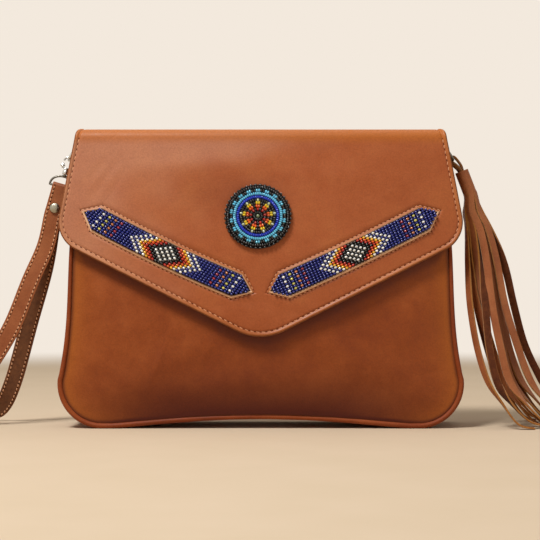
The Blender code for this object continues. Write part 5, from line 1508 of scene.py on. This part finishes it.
# The lace goes round the ring and back into the head, and turns its flat side to the viewer there.
loopRadius = sideRing["wire"] + pouch["gap"] + tassel["lace"]
way = tassel["top"] - ringEnd
heading = math.atan2(way.z, way.x) + math.pi / 2
aside = headRight * (tassel["lace"] + 0.15)
inside = tassel["top"] + headDown * tassel["head"] * 0.4
first = ringEnd + loopRadius * Vector((math.cos(heading), 0.0, math.sin(heading)))
entry, leaving = (tassel["top"] + shift - headDown * 0.3 for shift in (aside, -aside))
path = [inside + aside, entry]
path += [entry.lerp(first, share) + headRight * bow for share, bow in ((0.35, 0.7), (0.7, 0.5))]
for i in range(17):
    angle = heading + math.pi * i / 16
    path.append(ringEnd + loopRadius * Vector((math.cos(angle), 0.0, math.sin(angle))))
path += [path[-1].lerp(leaving, 0.5) + headRight * 0.9, leaving + headRight * 0.5, inside - aside]
steps = tassel["laceSteps"]
swells = [tassel["laceSwell"] * eased((i - 40) / 10) * eased((74 - i) / 8) for i in range(steps + 1)]
radii = [tassel["lace"] * (1 + swell) for swell in swells]
points, faces = tubeMesh(spaced(smoothLine(path, 6), steps), radii, 10)
points = [Vector((p.x, p.y * tassel["laceFlat"], p.z)) for p in points]  # 3.2 mm wide, and 5.6 mm there
addPiece("tasselLaceSuede", points, faces, [laceSuede], "hanging_tassel", ["tassel_lace"], "suede_lace")
print("tassel cut")


# Studio: a pale floor that fades into the pale room, and three soft lamps.
studio = {
    "floor": "#D6C1A6", "fibre": "#D3BEA2", "room": "#F3E9DD", "lightStrength": 0.26, "half": 9000.0,
    "fadeStart": 620.0, "fadeEnd": 980.0,
    "lamps": (
        ("keyLamp", (-0.5, -0.62, 1.3), (0.0, 0.0, 0.1), 0.34, 19.0),
        ("fillLamp", (1.1, -1.0, 0.5), (0.0, 0.0, 0.1), 1.0, 1.5),
        ("topLamp", (0.15, 0.2, 1.2), (0.0, 0.0, 0.15), 0.7, 2.3),
    ),
}


def seenDirectly(tree):
    # One for rays that show the background: straight from the camera, in a reflection or through glass.
    path = addNode(tree, "LightPath", {}, {}).outputs
    either = addNode(tree, "Math", {}, {0: path["Is Camera Ray"], 1: path["Is Glossy Ray"]}, operation="ADD")
    through = {0: either, 1: path["Is Transmission Ray"]}
    return addNode(tree, "Math", {}, through, operation="ADD", use_clamp=True)


# Matt background paper, lit near the bag so that it keeps the shadow, and as bright as the room far
# off. Its fibre lies in clouds 60 mm wide.
paper, tree, shader, place = startMaterial("matBackgroundPaper", 0.9, **{"Specular IOR Level": 0.1})
fibre = addNode(tree, "TexNoise", {"Scale": 1 / 60, "Detail": 5.0}, {"Vector": place})
tone = colourBetween(tree, fibre, (0.3, studio["fibre"]), (0.7, studio["floor"]))
connect(tree, shader, {"Base Color": tone})
distance = addNode(tree, "VectorMath", {}, {0: place}, operation="LENGTH").outputs["Value"]
fadeRange = {"From Min": studio["fadeStart"], "From Max": studio["fadeEnd"]}
fade = addNode(tree, "MapRange", fadeRange, {"Value": distance}, interpolation_type="SMOOTHSTEP")
share = addNode(tree, "Math", {}, {0: fade, 1: seenDirectly(tree)}, operation="MULTIPLY")
roomLight = {"Color": linear(studio["room"]), "Strength": 1.0}
glow = addNode(tree, "Emission", roomLight, {})
mix = addNode(tree, "MixShader", {}, {0: share, 1: shader, 2: glow})
connect(tree, tree.nodes["Material Output"], {"Surface": mix})
reach = studio["half"]
corners = [Vector((x, y, 0.0)) for y in (-reach, reach) for x in (-reach, reach)]
addPiece("studioFloor", corners, gridFaces(1, 1), [paper], None)

world = bpy.data.worlds.new("softRoom")
bpy.context.scene.world = world
world.use_nodes = True
tree = world.node_tree
lit = tree.nodes["Background"]
lit.inputs["Color"].default_value = linear(studio["room"])
lit.inputs["Strength"].default_value = studio["lightStrength"]
seen = addNode(tree, "Background", roomLight, {})
either = addNode(tree, "MixShader", {}, {0: seenDirectly(tree), 1: lit, 2: seen})
connect(tree, tree.nodes["World Output"], {"Surface": either})
for name, where, target, size, power in studio["lamps"]:
    lampData = bpy.data.lights.new(name, "AREA")
    lampData.size = size
    lampData.energy = power
    lamp = bpy.data.objects.new(name, lampData)
    lamp.location = where
    lamp.rotation_euler = (Vector(target) - Vector(where)).to_track_quat("-Z", "Y").to_euler()
    bpy.context.scene.collection.objects.link(lamp)
print("studio lit")
